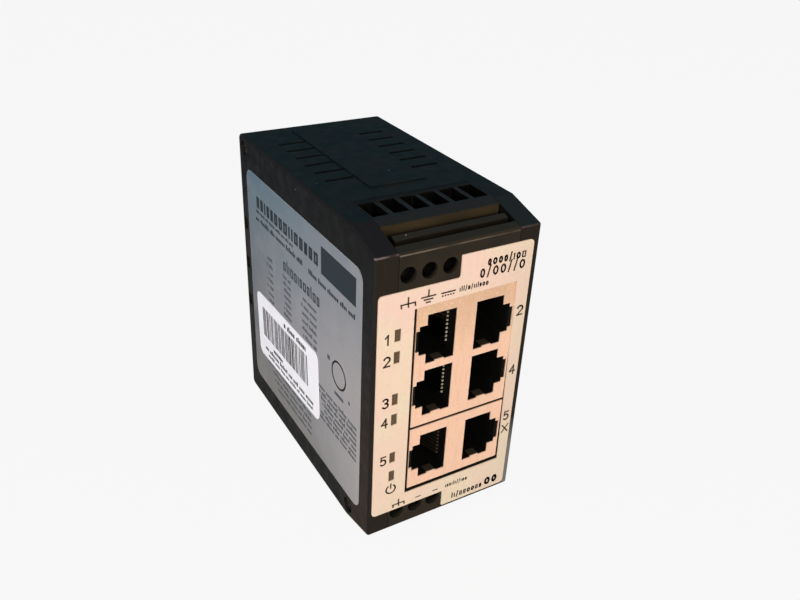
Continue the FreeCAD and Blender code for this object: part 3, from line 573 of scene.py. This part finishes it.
terminalPlastic = {
    "colour": (0.0150, 0.0118, 0.0078),
    "patch": (0.0230, 0.0170, 0.0095),
    "patchGrain": 6.0,
    "dustAndSkyTint": (0.0115, 0.0120, 0.0140),
    "dustAndSkyTintAmount": 0.3,
    "dustAndSkyTintGrain": 6,
    "dustAndSkyTintEnds": (0.25, 0.65, 0.9),
    # painted light and shade on the terminal block, from slope to deep
    "slope": (0.0090, 0.0105, 0.0128),
    "slopeAmount": 0.85,
    "rib": (0.0150, 0.0138, 0.0095),
    "ribAmount": 0.8,
    "ribEnds": (6.3, 6.6),
    "wall": (0.040, 0.029, 0.014),
    "wallEnds": (10.0, 10.3),
    "wallGrain": 3.0,
    "wallPatches": (0.15, 0.6),
    "entry": (0.0105, 0.0080, 0.0042),
    "entryAmount": 0.75,
    "ribFront": (0.0042, 0.0034, 0.0022),
    "ribFrontAmount": 0.9,
    "deep": (0.0008, 0.0007, 0.0005),
    "deepEnds": (1.7, 2.7),
    "wearAndGlint": (0.10, 0.09, 0.07),
    "wornWidth": 0.2,
    "wornAmount": 0.2,
    # a painted highlight along the terminal block front's upper edge
    "frontEdgeHighlight": {"colour": (0.135, 0.104, 0.078), "amount": 1.0, "from": 74.25, "to": 74.70},
    "speck": (0.26, 0.24, 0.20),
    "speckAmount": 0.8,
    "rough": 0.50,
    "specular": 0.10,
    "grainDepth": 0.010,
    "waveDepth": 0.006,
}
footPlastic = {
    "colour": (0.012, 0.012, 0.013),
    "patch": (0.017, 0.017, 0.018),
    "patchGrain": 7.0,
    "dustAndSkyTint": (0.03, 0.030, 0.028),
    "dustAndSkyTintAmount": 0.2,
    "dustAndSkyTintGrain": 6,
    "dustAndSkyTintEnds": (0.35, 0.75, 0.3),
    "wearAndGlint": (0.14, 0.14, 0.13),
    "wornWidth": 0.3,
    "wornAmount": 0.3,
    "speck": (0.20, 0.20, 0.19),
    "speckAmount": 0.4,
    "rough": 0.42,
    "specular": 0.22,
    "grainDepth": 0.008,
    "waveDepth": 0.01,
}
finishes = {
    "case_plastic": caseFinish("casePlastic", casePlastic),
    "terminal_plastic": caseFinish("terminalPlastic", terminalPlastic),
    "latch_plastic": caseFinish("footPlastic", footPlastic),
}

# Patches: grain, amount and the noise values they start and end at. Specks: spacing, size and
# amount. Grain: width and depth.
labelFilm = {
    "colour": (0.675, 0.52, 0.39),
    "pink": (0.69, 0.475, 0.405),
    "pinkPatches": (16.0, 0.75, 0.4, 0.65),
    "olive": (0.62, 0.575, 0.40),
    "olivePatches": (11.0, 0.55, 0.5, 0.72),
    "oliveShare": 0.4,
    "oliveAmount": 0.3,
    # painted shade towards the label's right
    "rightShade": (0.50, 0.43, 0.33),
    "rightShadeShares": (0.3, 1.5),
    "rightShadeAmount": 0.6,
    "stain": (0.54, 0.40, 0.30),
    "stainPatches": (1.2, 0.22, 0.45, 0.75),
    "speck": (0.30, 0.22, 0.16),
    "specks": (6.0, 0.12, 0.6),
    "rough": 0.46,
    "smoother": 0.05,
    "rougher": 0.12,
    "roughGrain": 4.0,
    "grain": (0.5, 0.005),
}


def labelFinish(values):
    made = Finish("labelFilm", values["colour"], values["rough"], specular=0.2)
    low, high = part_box("front_label")
    made.mottle(values["pink"], *values["pinkPatches"])
    made.mottle(values["olive"], *values["olivePatches"])
    # painted shade: the label darker towards the right
    start, end = [high.x * share for share in values["rightShadeShares"]]
    made.tint(values["rightShade"], made.times(made.along("X", start, end), values["rightShadeAmount"]))
    foot = made.along("Z", high.z * values["oliveShare"], low.z)
    made.tint(values["olive"], made.times(foot, values["oliveAmount"]))
    made.mottle(values["stain"], *values["stainPatches"])
    made.specks(values["speck"], *values["specks"])
    made.roughenBy(values)
    made.bump(*values["grain"])
    return made.material


sideFilm = {
    "colour": (0.270, 0.264, 0.284),
    # painted cool sky light on the film's top, in teal and violet
    "teal": (0.078, 0.142, 0.182),
    "tealAmounts": (0.45, 1.0),
    "violet": (0.235, 0.222, 0.255),
    "violetAmount": 0.5,
    "upperShare": 1.05,
    "shade": (0.085, 0.100, 0.108),
    "shadeAmount": 0.7,
    "low": (0.200, 0.185, 0.170),
    "lowShare": 0.7,
    # pale: painted warm light at the front, also random pale patches
    "pale": (0.365, 0.325, 0.31),
    "paleAmount": 0.75,
    "palePatches": (9.0, 0.25, 0.5, 0.72),
    "fleck": (0.17, 0.17, 0.175),
    "fleckPatches": (0.6, 0.25, 0.5, 0.8),
    # painted highlight on the film's edges
    "rim": (0.55, 0.56, 0.58),
    "rimWidth": 0.2,
    "rimAmount": 0.6,
    "rough": 0.42,
    "smoother": 0.06,
    "rougher": 0.08,
    "roughGrain": 5.0,
    "grain": (0.4, 0.004),
}


def sideFilmFinish(values):
    made = Finish("sideFilm", values["colour"], values["rough"], specular=0.25)
    low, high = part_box("side_label")
    middle = (low + high) / 2
    # painted warm light: the film paler towards the front
    front = made.along("Y", middle.y, low.y)
    made.tint(values["pale"], made.times(front, values["paleAmount"]))
    rear = made.along("Y", middle.y, high.y)
    made.tint(values["shade"], made.times(rear, values["shadeAmount"]))
    foot = made.along("Z", middle.z * values["lowShare"], low.z)
    made.tint(values["low"], made.times(foot, made.along("Y", low.y, middle.y)))
    # painted cool sky light: violet over the film's top, teal towards its rear
    upper = made.along("Z", middle.z * values["upperShare"], high.z)
    made.tint(values["violet"], made.times(upper, values["violetAmount"]))
    rear = made.ramp(made.along("Y", low.y, high.y), 0.25, 1.0, *values["tealAmounts"])
    made.tint(values["teal"], made.times(upper, rear))
    made.mottle(values["pale"], *values["palePatches"])
    made.mottle(values["fleck"], *values["fleckPatches"])
    # painted highlight along the film's edges
    made.tint(values["rim"], made.times(made.edges(values["rimWidth"]), values["rimAmount"]))
    made.roughenBy(values)
    made.bump(*values["grain"])
    return made.material


plain = {
    "patchAmount": 0.7,
    "smoother": 0.08,
    "smoothest": 0.05,
    "rougher": 0.1,
    "grainShare": 4,
}


def plainFinish(name, colour, rough, patch, grain, metal=0.0, specular=0.5, depth=0.006, wearAndGlint=None):
    # faint patches of a second colour, an uneven shine and a fine grain
    made = Finish(name, colour, rough, metal=metal, specular=specular)
    made.mottle(patch, grain, plain["patchAmount"])
    low = max(rough - plain["smoother"], plain["smoothest"])
    made.roughen(low, rough + plain["rougher"], grain)
    made.bump(grain / plain["grainShare"], depth)
    if wearAndGlint:
        made.edgeWearAndGlints(*wearAndGlint)
    return made


shieldTin = {
    "plain": {"name": "shieldTin", "colour": (0.60, 0.375, 0.235), "rough": 0.42,
              "patch": (0.72, 0.46, 0.30), "grain": 6.0, "metal": 0.2, "specular": 0.3,
              "depth": 0.004},
    "lit": (0.82, 0.52, 0.37),
    "litEnds": (62, 46),
    "litAmount": 0.85,
    "olive": (0.55, 0.45, 0.25),
    "olivePatches": (9.0, 0.4, 0.52, 0.7),
    "streak": (0.46, 0.27, 0.16),
    "streakPatches": (0.8, 0.25, 0.5, 0.8),
    # rim: small pale patches, and a painted highlight along the tin's edges
    "rim": (0.95, 0.82, 0.66),
    "rimPatches": (0.35, 0.35, 0.58, 0.7),
    "rimWidth": 0.18,
    "rimAmount": 0.7,
    # painted shade inside the socket openings
    "dark": (0.0075, 0.0080, 0.0058),
    "darkEnds": (0.12, 0.4),
    "darkAmount": 0.97,
}


def shieldFinish(values):
    made = plainFinish(**values["plain"])
    made.mottle(values["olive"], *values["olivePatches"])
    made.tint(values["lit"], made.times(made.above(*values["litEnds"]), values["litAmount"]))
    made.mottle(values["streak"], *values["streakPatches"], stretch=(1, 1, 0.15))
    # small pale patches, then a painted highlight along the edges
    made.mottle(values["rim"], *values["rimPatches"])
    made.edgeWearAndGlints(values["rim"], values["rimWidth"], values["rimAmount"])
    # painted shade: the tin near black just behind the front, inside the openings
    made.deep(values["dark"], *values["darkEnds"], values["darkAmount"])
    return made.material


contactGold = {
    "plain": {"name": "contactGold", "colour": (0.58, 0.50, 0.36), "rough": 0.35,
              "patch": (0.72, 0.64, 0.49), "grain": 0.6, "metal": 0.5, "specular": 0.05,
              "depth": 0.002},
    # painted shade on the contacts behind their tips
    "dark": (0.0025, 0.0019, 0.0012),
    "darkEnds": (2.95, 3.12),
    "upper": (0.10, 0.085, 0.060),
    "upperEnds": (54, 60),
    "upperAmount": 0.8,
    "lower": (0.02, 0.017, 0.012),
    "lowerEnds": (32, 28),
    "lowerAmount": 0.9,
}


def contactFinish(values):
    # bright only at the tips: painted shade darkens each contact behind its tip, and the contacts
    # are darker in the upper and lower sockets than in the middle ones
    made = plainFinish(**values["plain"])
    # painted shade behind the tips
    made.deep(values["dark"], *values["darkEnds"])
    made.tint(values["upper"], made.times(made.above(*values["upperEnds"]), values["upperAmount"]))
    made.tint(values["lower"], made.times(made.above(*values["lowerEnds"]), values["lowerAmount"]))
    return made.material


laminate = {
    "plain": {"name": "boardLaminate", "colour": (0.010, 0.075, 0.030), "rough": 0.35,
              "patch": (0.014, 0.10, 0.04), "grain": 3.0, "depth": 0.004},
    "weave": (0.02, 0.12, 0.05),
    "weaveGrain": 0.35,
    "weaveEnds": (0.4, 0.6),
    "weaveAmount": 0.4,
    "wearAndGlint": ((0.30, 0.28, 0.14), 0.3, 0.7),
}


def laminateFinish(values):
    made = plainFinish(**values["plain"])
    weave = made.noise(values["weaveGrain"], *values["weaveEnds"], stretch=(1, 1, 0.2))
    made.tint(values["weave"], made.times(weave, values["weaveAmount"]))
    made.edgeWearAndGlints(*values["wearAndGlint"])
    return made.material


plainSlots = {
    "sticker_paper": {"name": "stickerPaper", "colour": (0.93, 0.89, 0.92), "rough": 0.5,
                      "patch": (0.86, 0.82, 0.85), "grain": 4.0, "specular": 0.35, "depth": 0.003},
    "socket_plastic": {"name": "socketPlastic", "colour": (0.0030, 0.0028, 0.0024), "rough": 0.5,
                       "patch": (0.0050, 0.0048, 0.0036), "grain": 2.0, "specular": 0.06},
    "terminal_steel": {"name": "terminalSteel", "colour": (0.46, 0.43, 0.38), "rough": 0.35,
                       "patch": (0.56, 0.53, 0.47), "grain": 1.5, "metal": 1.0, "depth": 0.004},
    "busbar_copper": {"name": "busbarCopper", "colour": (0.62, 0.47, 0.33), "rough": 0.33,
                      "patch": (0.70, 0.60, 0.48), "grain": 1.2, "metal": 1.0, "depth": 0.004},
    # the dark steel colour is painted shade in the screws' recesses; its pale edges are painted
    # glints
    "fastener_steel": {"name": "fastenerSteel", "colour": (0.10, 0.095, 0.09), "rough": 0.40,
                       "patch": (0.26, 0.25, 0.23), "grain": 1.1, "metal": 1.0, "depth": 0.005,
                       "wearAndGlint": ((0.75, 0.74, 0.72), 0.25, 0.9)},
    "spring_steel": {"name": "springSteel", "colour": (0.50, 0.49, 0.47), "rough": 0.28,
                     "patch": (0.58, 0.57, 0.55), "grain": 0.8, "metal": 1.0, "depth": 0.003},
    "light_pipe_clear": {"name": "lightPipe", "colour": (0.088, 0.056, 0.031), "rough": 0.45,
                         "patch": (0.120, 0.080, 0.048), "grain": 0.8, "specular": 0.08,
                         "depth": 0.004},
    "lamp_lens": {"name": "lampLens", "colour": (0.42, 0.46, 0.24), "rough": 0.2,
                  "patch": (0.5, 0.52, 0.3), "grain": 1.0, "depth": 0.002},
    "holder_plastic": {"name": "holderPlastic", "colour": (0.03, 0.03, 0.03), "rough": 0.45,
                       "patch": (0.04, 0.04, 0.04), "grain": 2.0},
    "chip_epoxy": {"name": "chipEpoxy", "colour": (0.016, 0.016, 0.018), "rough": 0.5,
                   "patch": (0.022, 0.022, 0.023), "grain": 1.2, "depth": 0.008},
    "capacitor_sleeve": {"name": "capacitorSleeve", "colour": (0.014, 0.022, 0.07), "rough": 0.25,
                         "patch": (0.02, 0.03, 0.09), "grain": 4.0, "depth": 0.003},
    "ferrite_grey": {"name": "ferriteGrey", "colour": (0.045, 0.045, 0.048), "rough": 0.6,
                     "patch": (0.06, 0.06, 0.062), "grain": 1.0, "depth": 0.02},
    "crystal_can": {"name": "crystalCan", "colour": (0.55, 0.55, 0.54), "rough": 0.25,
                    "patch": (0.62, 0.62, 0.61), "grain": 1.5, "metal": 1.0, "depth": 0.003},
    "fuse_ceramic": {"name": "fuseCeramic", "colour": (0.62, 0.58, 0.50), "rough": 0.3,
                     "patch": (0.68, 0.65, 0.58), "grain": 2.0, "depth": 0.004},
}
inkStyle = {"rough": 0.5, "specular": 0.1, "depth": 0.003}
inkColours = {
    "labelInk": {"colour": (0.040, 0.026, 0.018), "patch": (0.075, 0.052, 0.038), "grain": 0.5},
    "sideInk": {"colour": (0.016, 0.024, 0.030), "patch": (0.030, 0.040, 0.047), "grain": 0.6},
    "greyInk": {"colour": (0.060, 0.066, 0.072), "patch": (0.110, 0.112, 0.118), "grain": 0.5},
    "barInk": {"colour": (0.017, 0.013, 0.015), "patch": (0.036, 0.030, 0.033), "grain": 0.5},
}

finishes["label_film"] = labelFinish(labelFilm)
finishes["side_label_film"] = sideFilmFinish(sideFilm)
finishes["shield_metal"] = shieldFinish(shieldTin)
finishes["contact_gold"] = contactFinish(contactGold)
finishes["board_laminate"] = laminateFinish(laminate)
for slot, values in plainSlots.items():
    finishes[slot] = plainFinish(**values).material
inks = {}
for name, values in inkColours.items():
    inks[name] = plainFinish(name, **values, **inkStyle).material

for row in frame["record"]["subparts"]:
    mesh = nodes[row["node"]].data
    mesh.materials.clear()
    mesh.materials.append(finishes[row["material_slot"]])
print("finishes ready:", len(finishes))


# ---- print on the labels

printDepth = 0.012


def place(kind):
    # turns a flat drawing point (across, up) into a place on that face; off lifts it from the face
    if kind == "front":
        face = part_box("front_label")[0].y
        return lambda across, up, off: Vector((across * mm, face - off * mm, up * mm))
    if kind == "side":
        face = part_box("side_label")[0].x
        return lambda across, up, off: Vector((face - off * mm, housingLow.y + across * mm, up * mm))
    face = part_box("barcode_sticker")[0].x
    return lambda across, up, off: Vector((face - off * mm, housingLow.y + across * mm, up * mm))


def addPrint(name, quads, kind, ink, turn=0.0, around=(0, 0)):
    # quads: lists of flat points, either way round; each becomes a thin plate of ink
    put = place(kind)
    c, s = math.cos(turn), math.sin(turn)
    shape = bmesh.new()
    for points in quads:
        rings = []
        for off in (0.0, printDepth):
            ring = []
            for u, v in points:
                du, dv = u - around[0], v - around[1]
                across, up = around[0] + c * du - s * dv, around[1] + s * du + c * dv
                ring.append(shape.verts.new(put(across, up, off)))
            rings.append(ring)
        shape.faces.new(rings[1])
        shape.faces.new(rings[0][::-1])
        for i in range(len(points)):
            j = (i + 1) % len(points)
            shape.faces.new([rings[0][i], rings[0][j], rings[1][j], rings[1][i]])
    bmesh.ops.recalc_face_normals(shape, faces=shape.faces)
    mesh = bpy.data.meshes.new(name)
    shape.to_mesh(mesh)
    shape.free()
    mesh.materials.append(ink)
    piece = bpy.data.objects.new(name, mesh)
    bpy.context.scene.collection.objects.link(piece)
    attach(piece, "case")


def bar(u0, u1, v0, v1):
    return [(u0, v0), (u1, v0), (u1, v1), (u0, v1)]


def stroke(start, end, width):
    a, b = Vector(start), Vector(end)
    along = (b - a).normalized() * width / 2
    across = Vector((-along.y, along.x))
    return [tuple(a - along - across), tuple(b + along - across),
            tuple(b + along + across), tuple(a - along + across)]


def path(points, width):
    return [stroke(points[i], points[i + 1], width) for i in range(len(points) - 1)]


def arc(middle, radii, start, end, width, steps=14):
    points = []
    for i in range(steps + 1):
        angle = math.radians(start + (end - start) * i / steps)
        across, up = radii[0] * math.cos(angle), radii[1] * math.sin(angle)
        points.append((middle[0] + across, middle[1] + up))
    return path(points, width)


digitStyle = {"height": 2.3, "width": 1.35, "pen": 0.40}


def digit(number, middle, style):
    # strokes of one plain figure; the front print needs no more than 1 to 5
    w, h, pen = style["width"] / 2, style["height"] / 2, style["pen"]
    bowl = h * 0.46
    shapes = {
        1: path([(-w * 0.75, h * 0.5), (w * 0.1, h), (w * 0.1, -h)], pen),
        2: (arc((0, h - w), (w, w), 165, -25, pen)
            + path([(w * 0.9, h - w * 1.42), (-w, -h), (w, -h)], pen)),
        3: (arc((0, h - bowl), (w * 0.9, bowl), 150, -90, pen)
            + arc((0, -h + bowl * 1.08), (w, bowl * 1.08), 90, -150, pen)),
        4: path([(w * 0.45, -h), (w * 0.45, h), (-w, -h * 0.3), (w, -h * 0.3)], pen),
        5: (path([(w * 0.85, h), (-w * 0.7, h), (-w * 0.8, h * 0.08)], pen)
            + arc((-w * 0.05, -h * 0.35), (w, h * 0.65), 125, -140, pen)),
    }
    moved = []
    for quad in shapes[number]:
        moved.append([(middle[0] + u, middle[1] + v) for u, v in quad])
    return moved


frontPrint = {
    "leftAcross": -16.85,
    "leftFigures": {1: 56.0, 2: 50.7, 3: 40.0, 4: 34.65, 5: 24.05},
    "rightAcross": 17.05,
    "rightFigures": {2: 54.5, 4: 38.4, 5: 25.0},
    "cross": (17.15, 21.1, 1.7, 2.1),
    "marks": [("chassis", -12.4, 63.5, 3.3), ("earth", -7.6, 64.05, 3.3),
              ("direct", -2.75, 63.6, 3.2), ("chassis", -12.25, 9.5, 3.0)],
    "dashes": [(-7.45, -6.25, 9.3), (-2.65, -1.45, 9.3)],
    "powerMark": (-14.55, 14.9, 1.2),
    "pen": 0.37,
    "dashPen": 0.296,
    "rows": [(6.7, 17.1, 67.9, 1.6, 0.40), (4.95, 17.1, 65.3, 2.2, 0.42),
             (0.0, 7.8, 63.3, 0.95, 0.26), (0.8, 7.6, 8.8, 0.9, 0.25),
             (3.0, 12.0, 4.4, 1.35, 0.36), (12.8, 17.6, 4.5, 2.3, 0.62)],
    "firstSeed": 401,
}


def chassisMark(across, up, size, pen):
    # a bar on a stem with three short legs
    half = size / 2
    quads = path([(across - half, up), (across + half, up)], pen)
    quads += path([(across, up + size * 0.42), (across, up)], pen)
    for leg in (-1, 0, 1):
        hip = across + leg * half
        quads += path([(hip, up), (hip + size * 0.03, up - size * 0.22)], pen)
    return quads


def earthMark(across, up, size, pen):
    quads = path([(across, up + size * 0.45), (across, up)], pen)
    for i, share in enumerate((0.5, 0.3, 0.13)):
        level = up - i * size * 0.2
        quads += path([(across - size * share, level), (across + size * share, level)], pen)
    return quads


def directMark(across, up, size, pen):
    # a full line over a dashed one
    level = up + size * 0.11
    quads = path([(across - size / 2, level), (across + size / 2, level)], pen)
    for i in range(5):
        start = across - size / 2 + i * size * 0.21
        quads.append(bar(start, start + size * 0.13, up - size * 0.16, up - size * 0.16 + pen))
    return quads


def powerMark(across, up, radius, pen):
    quads = arc((across, up), (radius, radius), 125, 415, pen, 22)
    return quads + path([(across, up + radius * 0.25), (across, up + radius * 1.25)], pen)


markDrawings = {"chassis": chassisMark, "earth": earthMark, "direct": directMark}
frontKinds = ("bar", "bar", "ring", "ring", "frame", "slash")
sideKinds = ("bar", "frame", "frame")
# shares of the line's height, but "rail", which is a share of the pen
markStyle = {
    "wide": (0.55, 0.75),
    "tall": (1.0, 1.35),
    "slashWide": 0.45,
    "slashTall": 1.2,
    "rail": 0.8,
    "gap": 0.24,
    "margin": 0.4,
}


def markLine(start, end, base, height, pen, seed, kinds):
    # a row of upright bars, plain rings and frames that stands for a line of larger print
    pick = random.Random(seed)
    side = 1 if end > start else -1
    quads = []
    at = start
    while abs(at - start) < abs(end - start) - height * markStyle["margin"]:
        kind = pick.choice(kinds)
        wide = height * pick.uniform(*markStyle["wide"])
        wide = {"bar": pen, "slash": height * markStyle["slashWide"]}.get(kind, wide)
        left, right = sorted((at, at + side * wide))
        if kind == "bar":
            quads.append(bar(left, right, base, base + height * pick.choice(markStyle["tall"])))
        elif kind == "slash":
            top = base + height * markStyle["slashTall"]
            quads += path([(left + pen / 2, base), (right - pen / 2, top)], pen)
        elif kind == "ring":
            middle = ((left + right) / 2, base + height / 2)
            quads += arc(middle, ((wide - pen) / 2, (height - pen) / 2), 0, 360, pen, 12)
        else:
            top, thin = base + height, pen * markStyle["rail"]
            quads += [bar(left, left + pen, base, top), bar(right - pen, right, base, top)]
            quads += [bar(left + pen, right - pen, base, base + thin),
                      bar(left + pen, right - pen, top - thin, top)]
        at += side * (wide + height * markStyle["gap"])
    return quads


def makeFrontPrint(values):
    pen = values["pen"]
    quads = []
    for number, level in values["leftFigures"].items():
        quads += digit(number, (values["leftAcross"], level), digitStyle)
    for number, level in values["rightFigures"].items():
        quads += digit(number, (values["rightAcross"], level), digitStyle)
    x, z, w, h = values["cross"]
    quads += path([(x - w / 2, z - h / 2), (x + w / 2, z + h / 2)], pen)
    quads += path([(x - w / 2, z + h / 2), (x + w / 2, z - h / 2)], pen)
    for kind, across, up, size in values["marks"]:
        quads += markDrawings[kind](across, up, size, pen)
    for start, end, level in values["dashes"]:
        quads += path([(start, level), (end, level)], values["dashPen"])
    quads += powerMark(*values["powerMark"], pen)
    for i, row in enumerate(values["rows"]):
        quads += markLine(*row, values["firstSeed"] + i, frontKinds)
    addPrint("front_print", quads, "front", inks["labelInk"])


makeFrontPrint(frontPrint)


# shares of the line's height, but "group", which is how many marks stand together
fineStyle = {
    "wide": (0.35, 0.62),
    "tall": (0.68, 0.68, 0.7, 1.0),
    "gap": 0.14,
    "groupGap": 0.5,
    "group": (3, 8),
    "margin": 0.5,
}


def fineLine(start, end, up, height, seed):
    # small marks of uneven width, in groups, that stand for a line of fine print, from start to end
    pick = random.Random(seed)
    side = 1 if end > start else -1
    quads = []
    at = start
    left = pick.randint(*fineStyle["group"])
    while abs(at - start) < abs(end - start) - height * fineStyle["margin"]:
        width = height * pick.uniform(*fineStyle["wide"])
        tall = height * pick.choice(fineStyle["tall"])
        quads.append(bar(min(at, at + side * width), max(at, at + side * width), up, up + tall))
        at += side * (width + height * fineStyle["gap"])
        left -= 1
        if left == 0:
            at += side * height * fineStyle["groupGap"]
            left = pick.randint(*fineStyle["group"])
    return quads


sidePrint = {
    "header": (24.2, 7.4, 60.6, 67.4),
    "title": (64.4, 25.8, 61.5, 3.1, 0.95),
    "middleTitle": (45.7, 25.3, 51.2, 2.4, 0.55),
    "lines": [(63.9, 34.5, 57.7, 1.3), (31.7, 7.7, 57.4, 1.3), (63.5, 40.0, 60.0, 0.8)],
    "columns": [(58.3, 53.6, 49.4, 37.0, 7), (47.8, 42.0, 48.9, 38.0, 7),
                (36.5, 27.0, 48.6, 36.0, 7)],
    "ring": (15.3, 38.6, 3.4, 0.5),
    "dots": [(21.2, 19.9, 40.0, 41.2), (10.4, 9.6, 33.9, 34.8), (17.4, 12.9, 32.4, 33.3)],
    "blocks": [(26.5, 6.3, 29.0, 20.0, 7), (60.0, 31.0, 18.0, 10.0, 5)],
    "fineHeight": 1.1,
    "ragged": 0.25,
    "seeds": {"titles": 11, "lines": 21, "ragged": 101, "fine": 31},
}


def makeSidePrint(values):
    dark, grey, seeds = [], [], values["seeds"]
    u0, u1, v0, v1 = values["header"]
    dark.append(bar(u1, u0, v0, v1))
    for i, name in enumerate(("title", "middleTitle")):
        start, end, base, height, pen = values[name]
        dark += markLine(end, start, base, height, pen, seeds["titles"] + i, sideKinds)
    for i, (start, end, up, height) in enumerate(values["lines"]):
        dark += fineLine(end, start, up, height, seeds["lines"] + i)
    for i, (start, end, high, low, count) in enumerate(values["columns"] + values["blocks"]):
        for k in range(count):
            level = high + (low - high) * k / (count - 1)
            pick = random.Random(seeds["ragged"] * i + k)
            ragged = pick.uniform(0.0, values["ragged"]) * (start - end)
            seed = seeds["fine"] * i + k
            grey += fineLine(end, start - ragged, level, values["fineHeight"], seed)
    across, up, radius, pen = values["ring"]
    grey += arc((across, up), (radius, radius), 0, 360, pen, 36)
    for start, end, low, high in values["dots"]:
        grey.append(bar(end, start, low, high))
    addPrint("side_print", dark, "side", inks["sideInk"])
    addPrint("side_fine_print", grey, "side", inks["greyInk"])


makeSidePrint(sidePrint)

stickerPrint = {
    "middle": (45.8, 27.1),
    "turnDegrees": -2.2,
    "bars": (62.2, 32.4, 24.3, 33.2),
    "narrowBar": 0.26,
    "barWidths": (1, 2, 2, 3),
    "barGaps": (1, 1, 2, 2, 2),
    "lines": [(47.0, 33.0, 34.1, 1.7), (56.0, 49.0, 21.9, 1.4),
              (62.5, 29.5, 20.1, 1.3), (60.0, 30.0, 18.5, 1.0)],
    "seeds": {"bars": 5, "lines": 61},
}


def makeStickerPrint(values):
    pick = random.Random(values["seeds"]["bars"])
    start, end, low, high = values["bars"]
    quads = []
    at = end
    while at < start - values["narrowBar"] * max(values["barWidths"]):
        width = values["narrowBar"] * pick.choice(values["barWidths"])
        quads.append(bar(at, at + width, low, high))
        at += width + values["narrowBar"] * pick.choice(values["barGaps"])
    for i, (far, near, up, height) in enumerate(values["lines"]):
        quads += fineLine(near, far, up, height, values["seeds"]["lines"] + i)
    turn = math.radians(values["turnDegrees"])
    addPrint("sticker_print", quads, "sticker", inks["barInk"], turn,
             values["middle"])


makeStickerPrint(stickerPrint)
print("print ready")


# ---- latch spring, drawn at rest; the real one is squashed as the latch is pulled

springStyle = {
    "turns": 7,
    "wire": 0.25,
    "radius": 1.05,
    "length": 13.0,
    "travel": 4.0,
    "steps": 28,
    "around": 10,
}


def makeSpring(style):
    low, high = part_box("latch_spring")
    middle = (low + high) / 2
    wire, radius, whole = style["wire"] * mm, style["radius"] * mm, style["length"]
    base, length = 29.0 * mm + wire, whole * mm - 2 * wire  # its foot is 29 mm up
    total = style["turns"] * style["steps"]
    up = Vector((0, 0, 1))
    shape = bmesh.new()
    rings = []
    for i in range(total + 1):
        angle = 2 * math.pi * i / style["steps"]
        share = i / total
        out = Vector((math.cos(angle), math.sin(angle), 0))
        centre = Vector((0, middle.y, base + length * share)) + out * radius
        ring = []
        for k in range(style["around"]):
            turn = 2 * math.pi * k / style["around"]
            aside = out * math.cos(turn) + up * math.sin(turn)
            ring.append(shape.verts.new(centre + aside * wire))
        rings.append(ring)
    for first, second in zip(rings, rings[1:]):
        for k in range(style["around"]):
            j = (k + 1) % style["around"]
            shape.faces.new([first[k], first[j], second[j], second[k]])
    shape.faces.new(rings[0][::-1])
    shape.faces.new(rings[-1])
    bmesh.ops.recalc_face_normals(shape, faces=shape.faces)
    for face in shape.faces:
        face.smooth = True
    mesh = bpy.data.meshes.new("coil_spring")
    shape.to_mesh(mesh)
    shape.free()
    mesh.materials.append(finishes["spring_steel"])
    spring = bpy.data.objects.new("coil_spring", mesh)
    bpy.context.scene.collection.objects.link(spring)
    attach(spring, "case")
    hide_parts("latch_spring")
    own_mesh(spring)


makeSpring(springStyle)
print("spring ready")
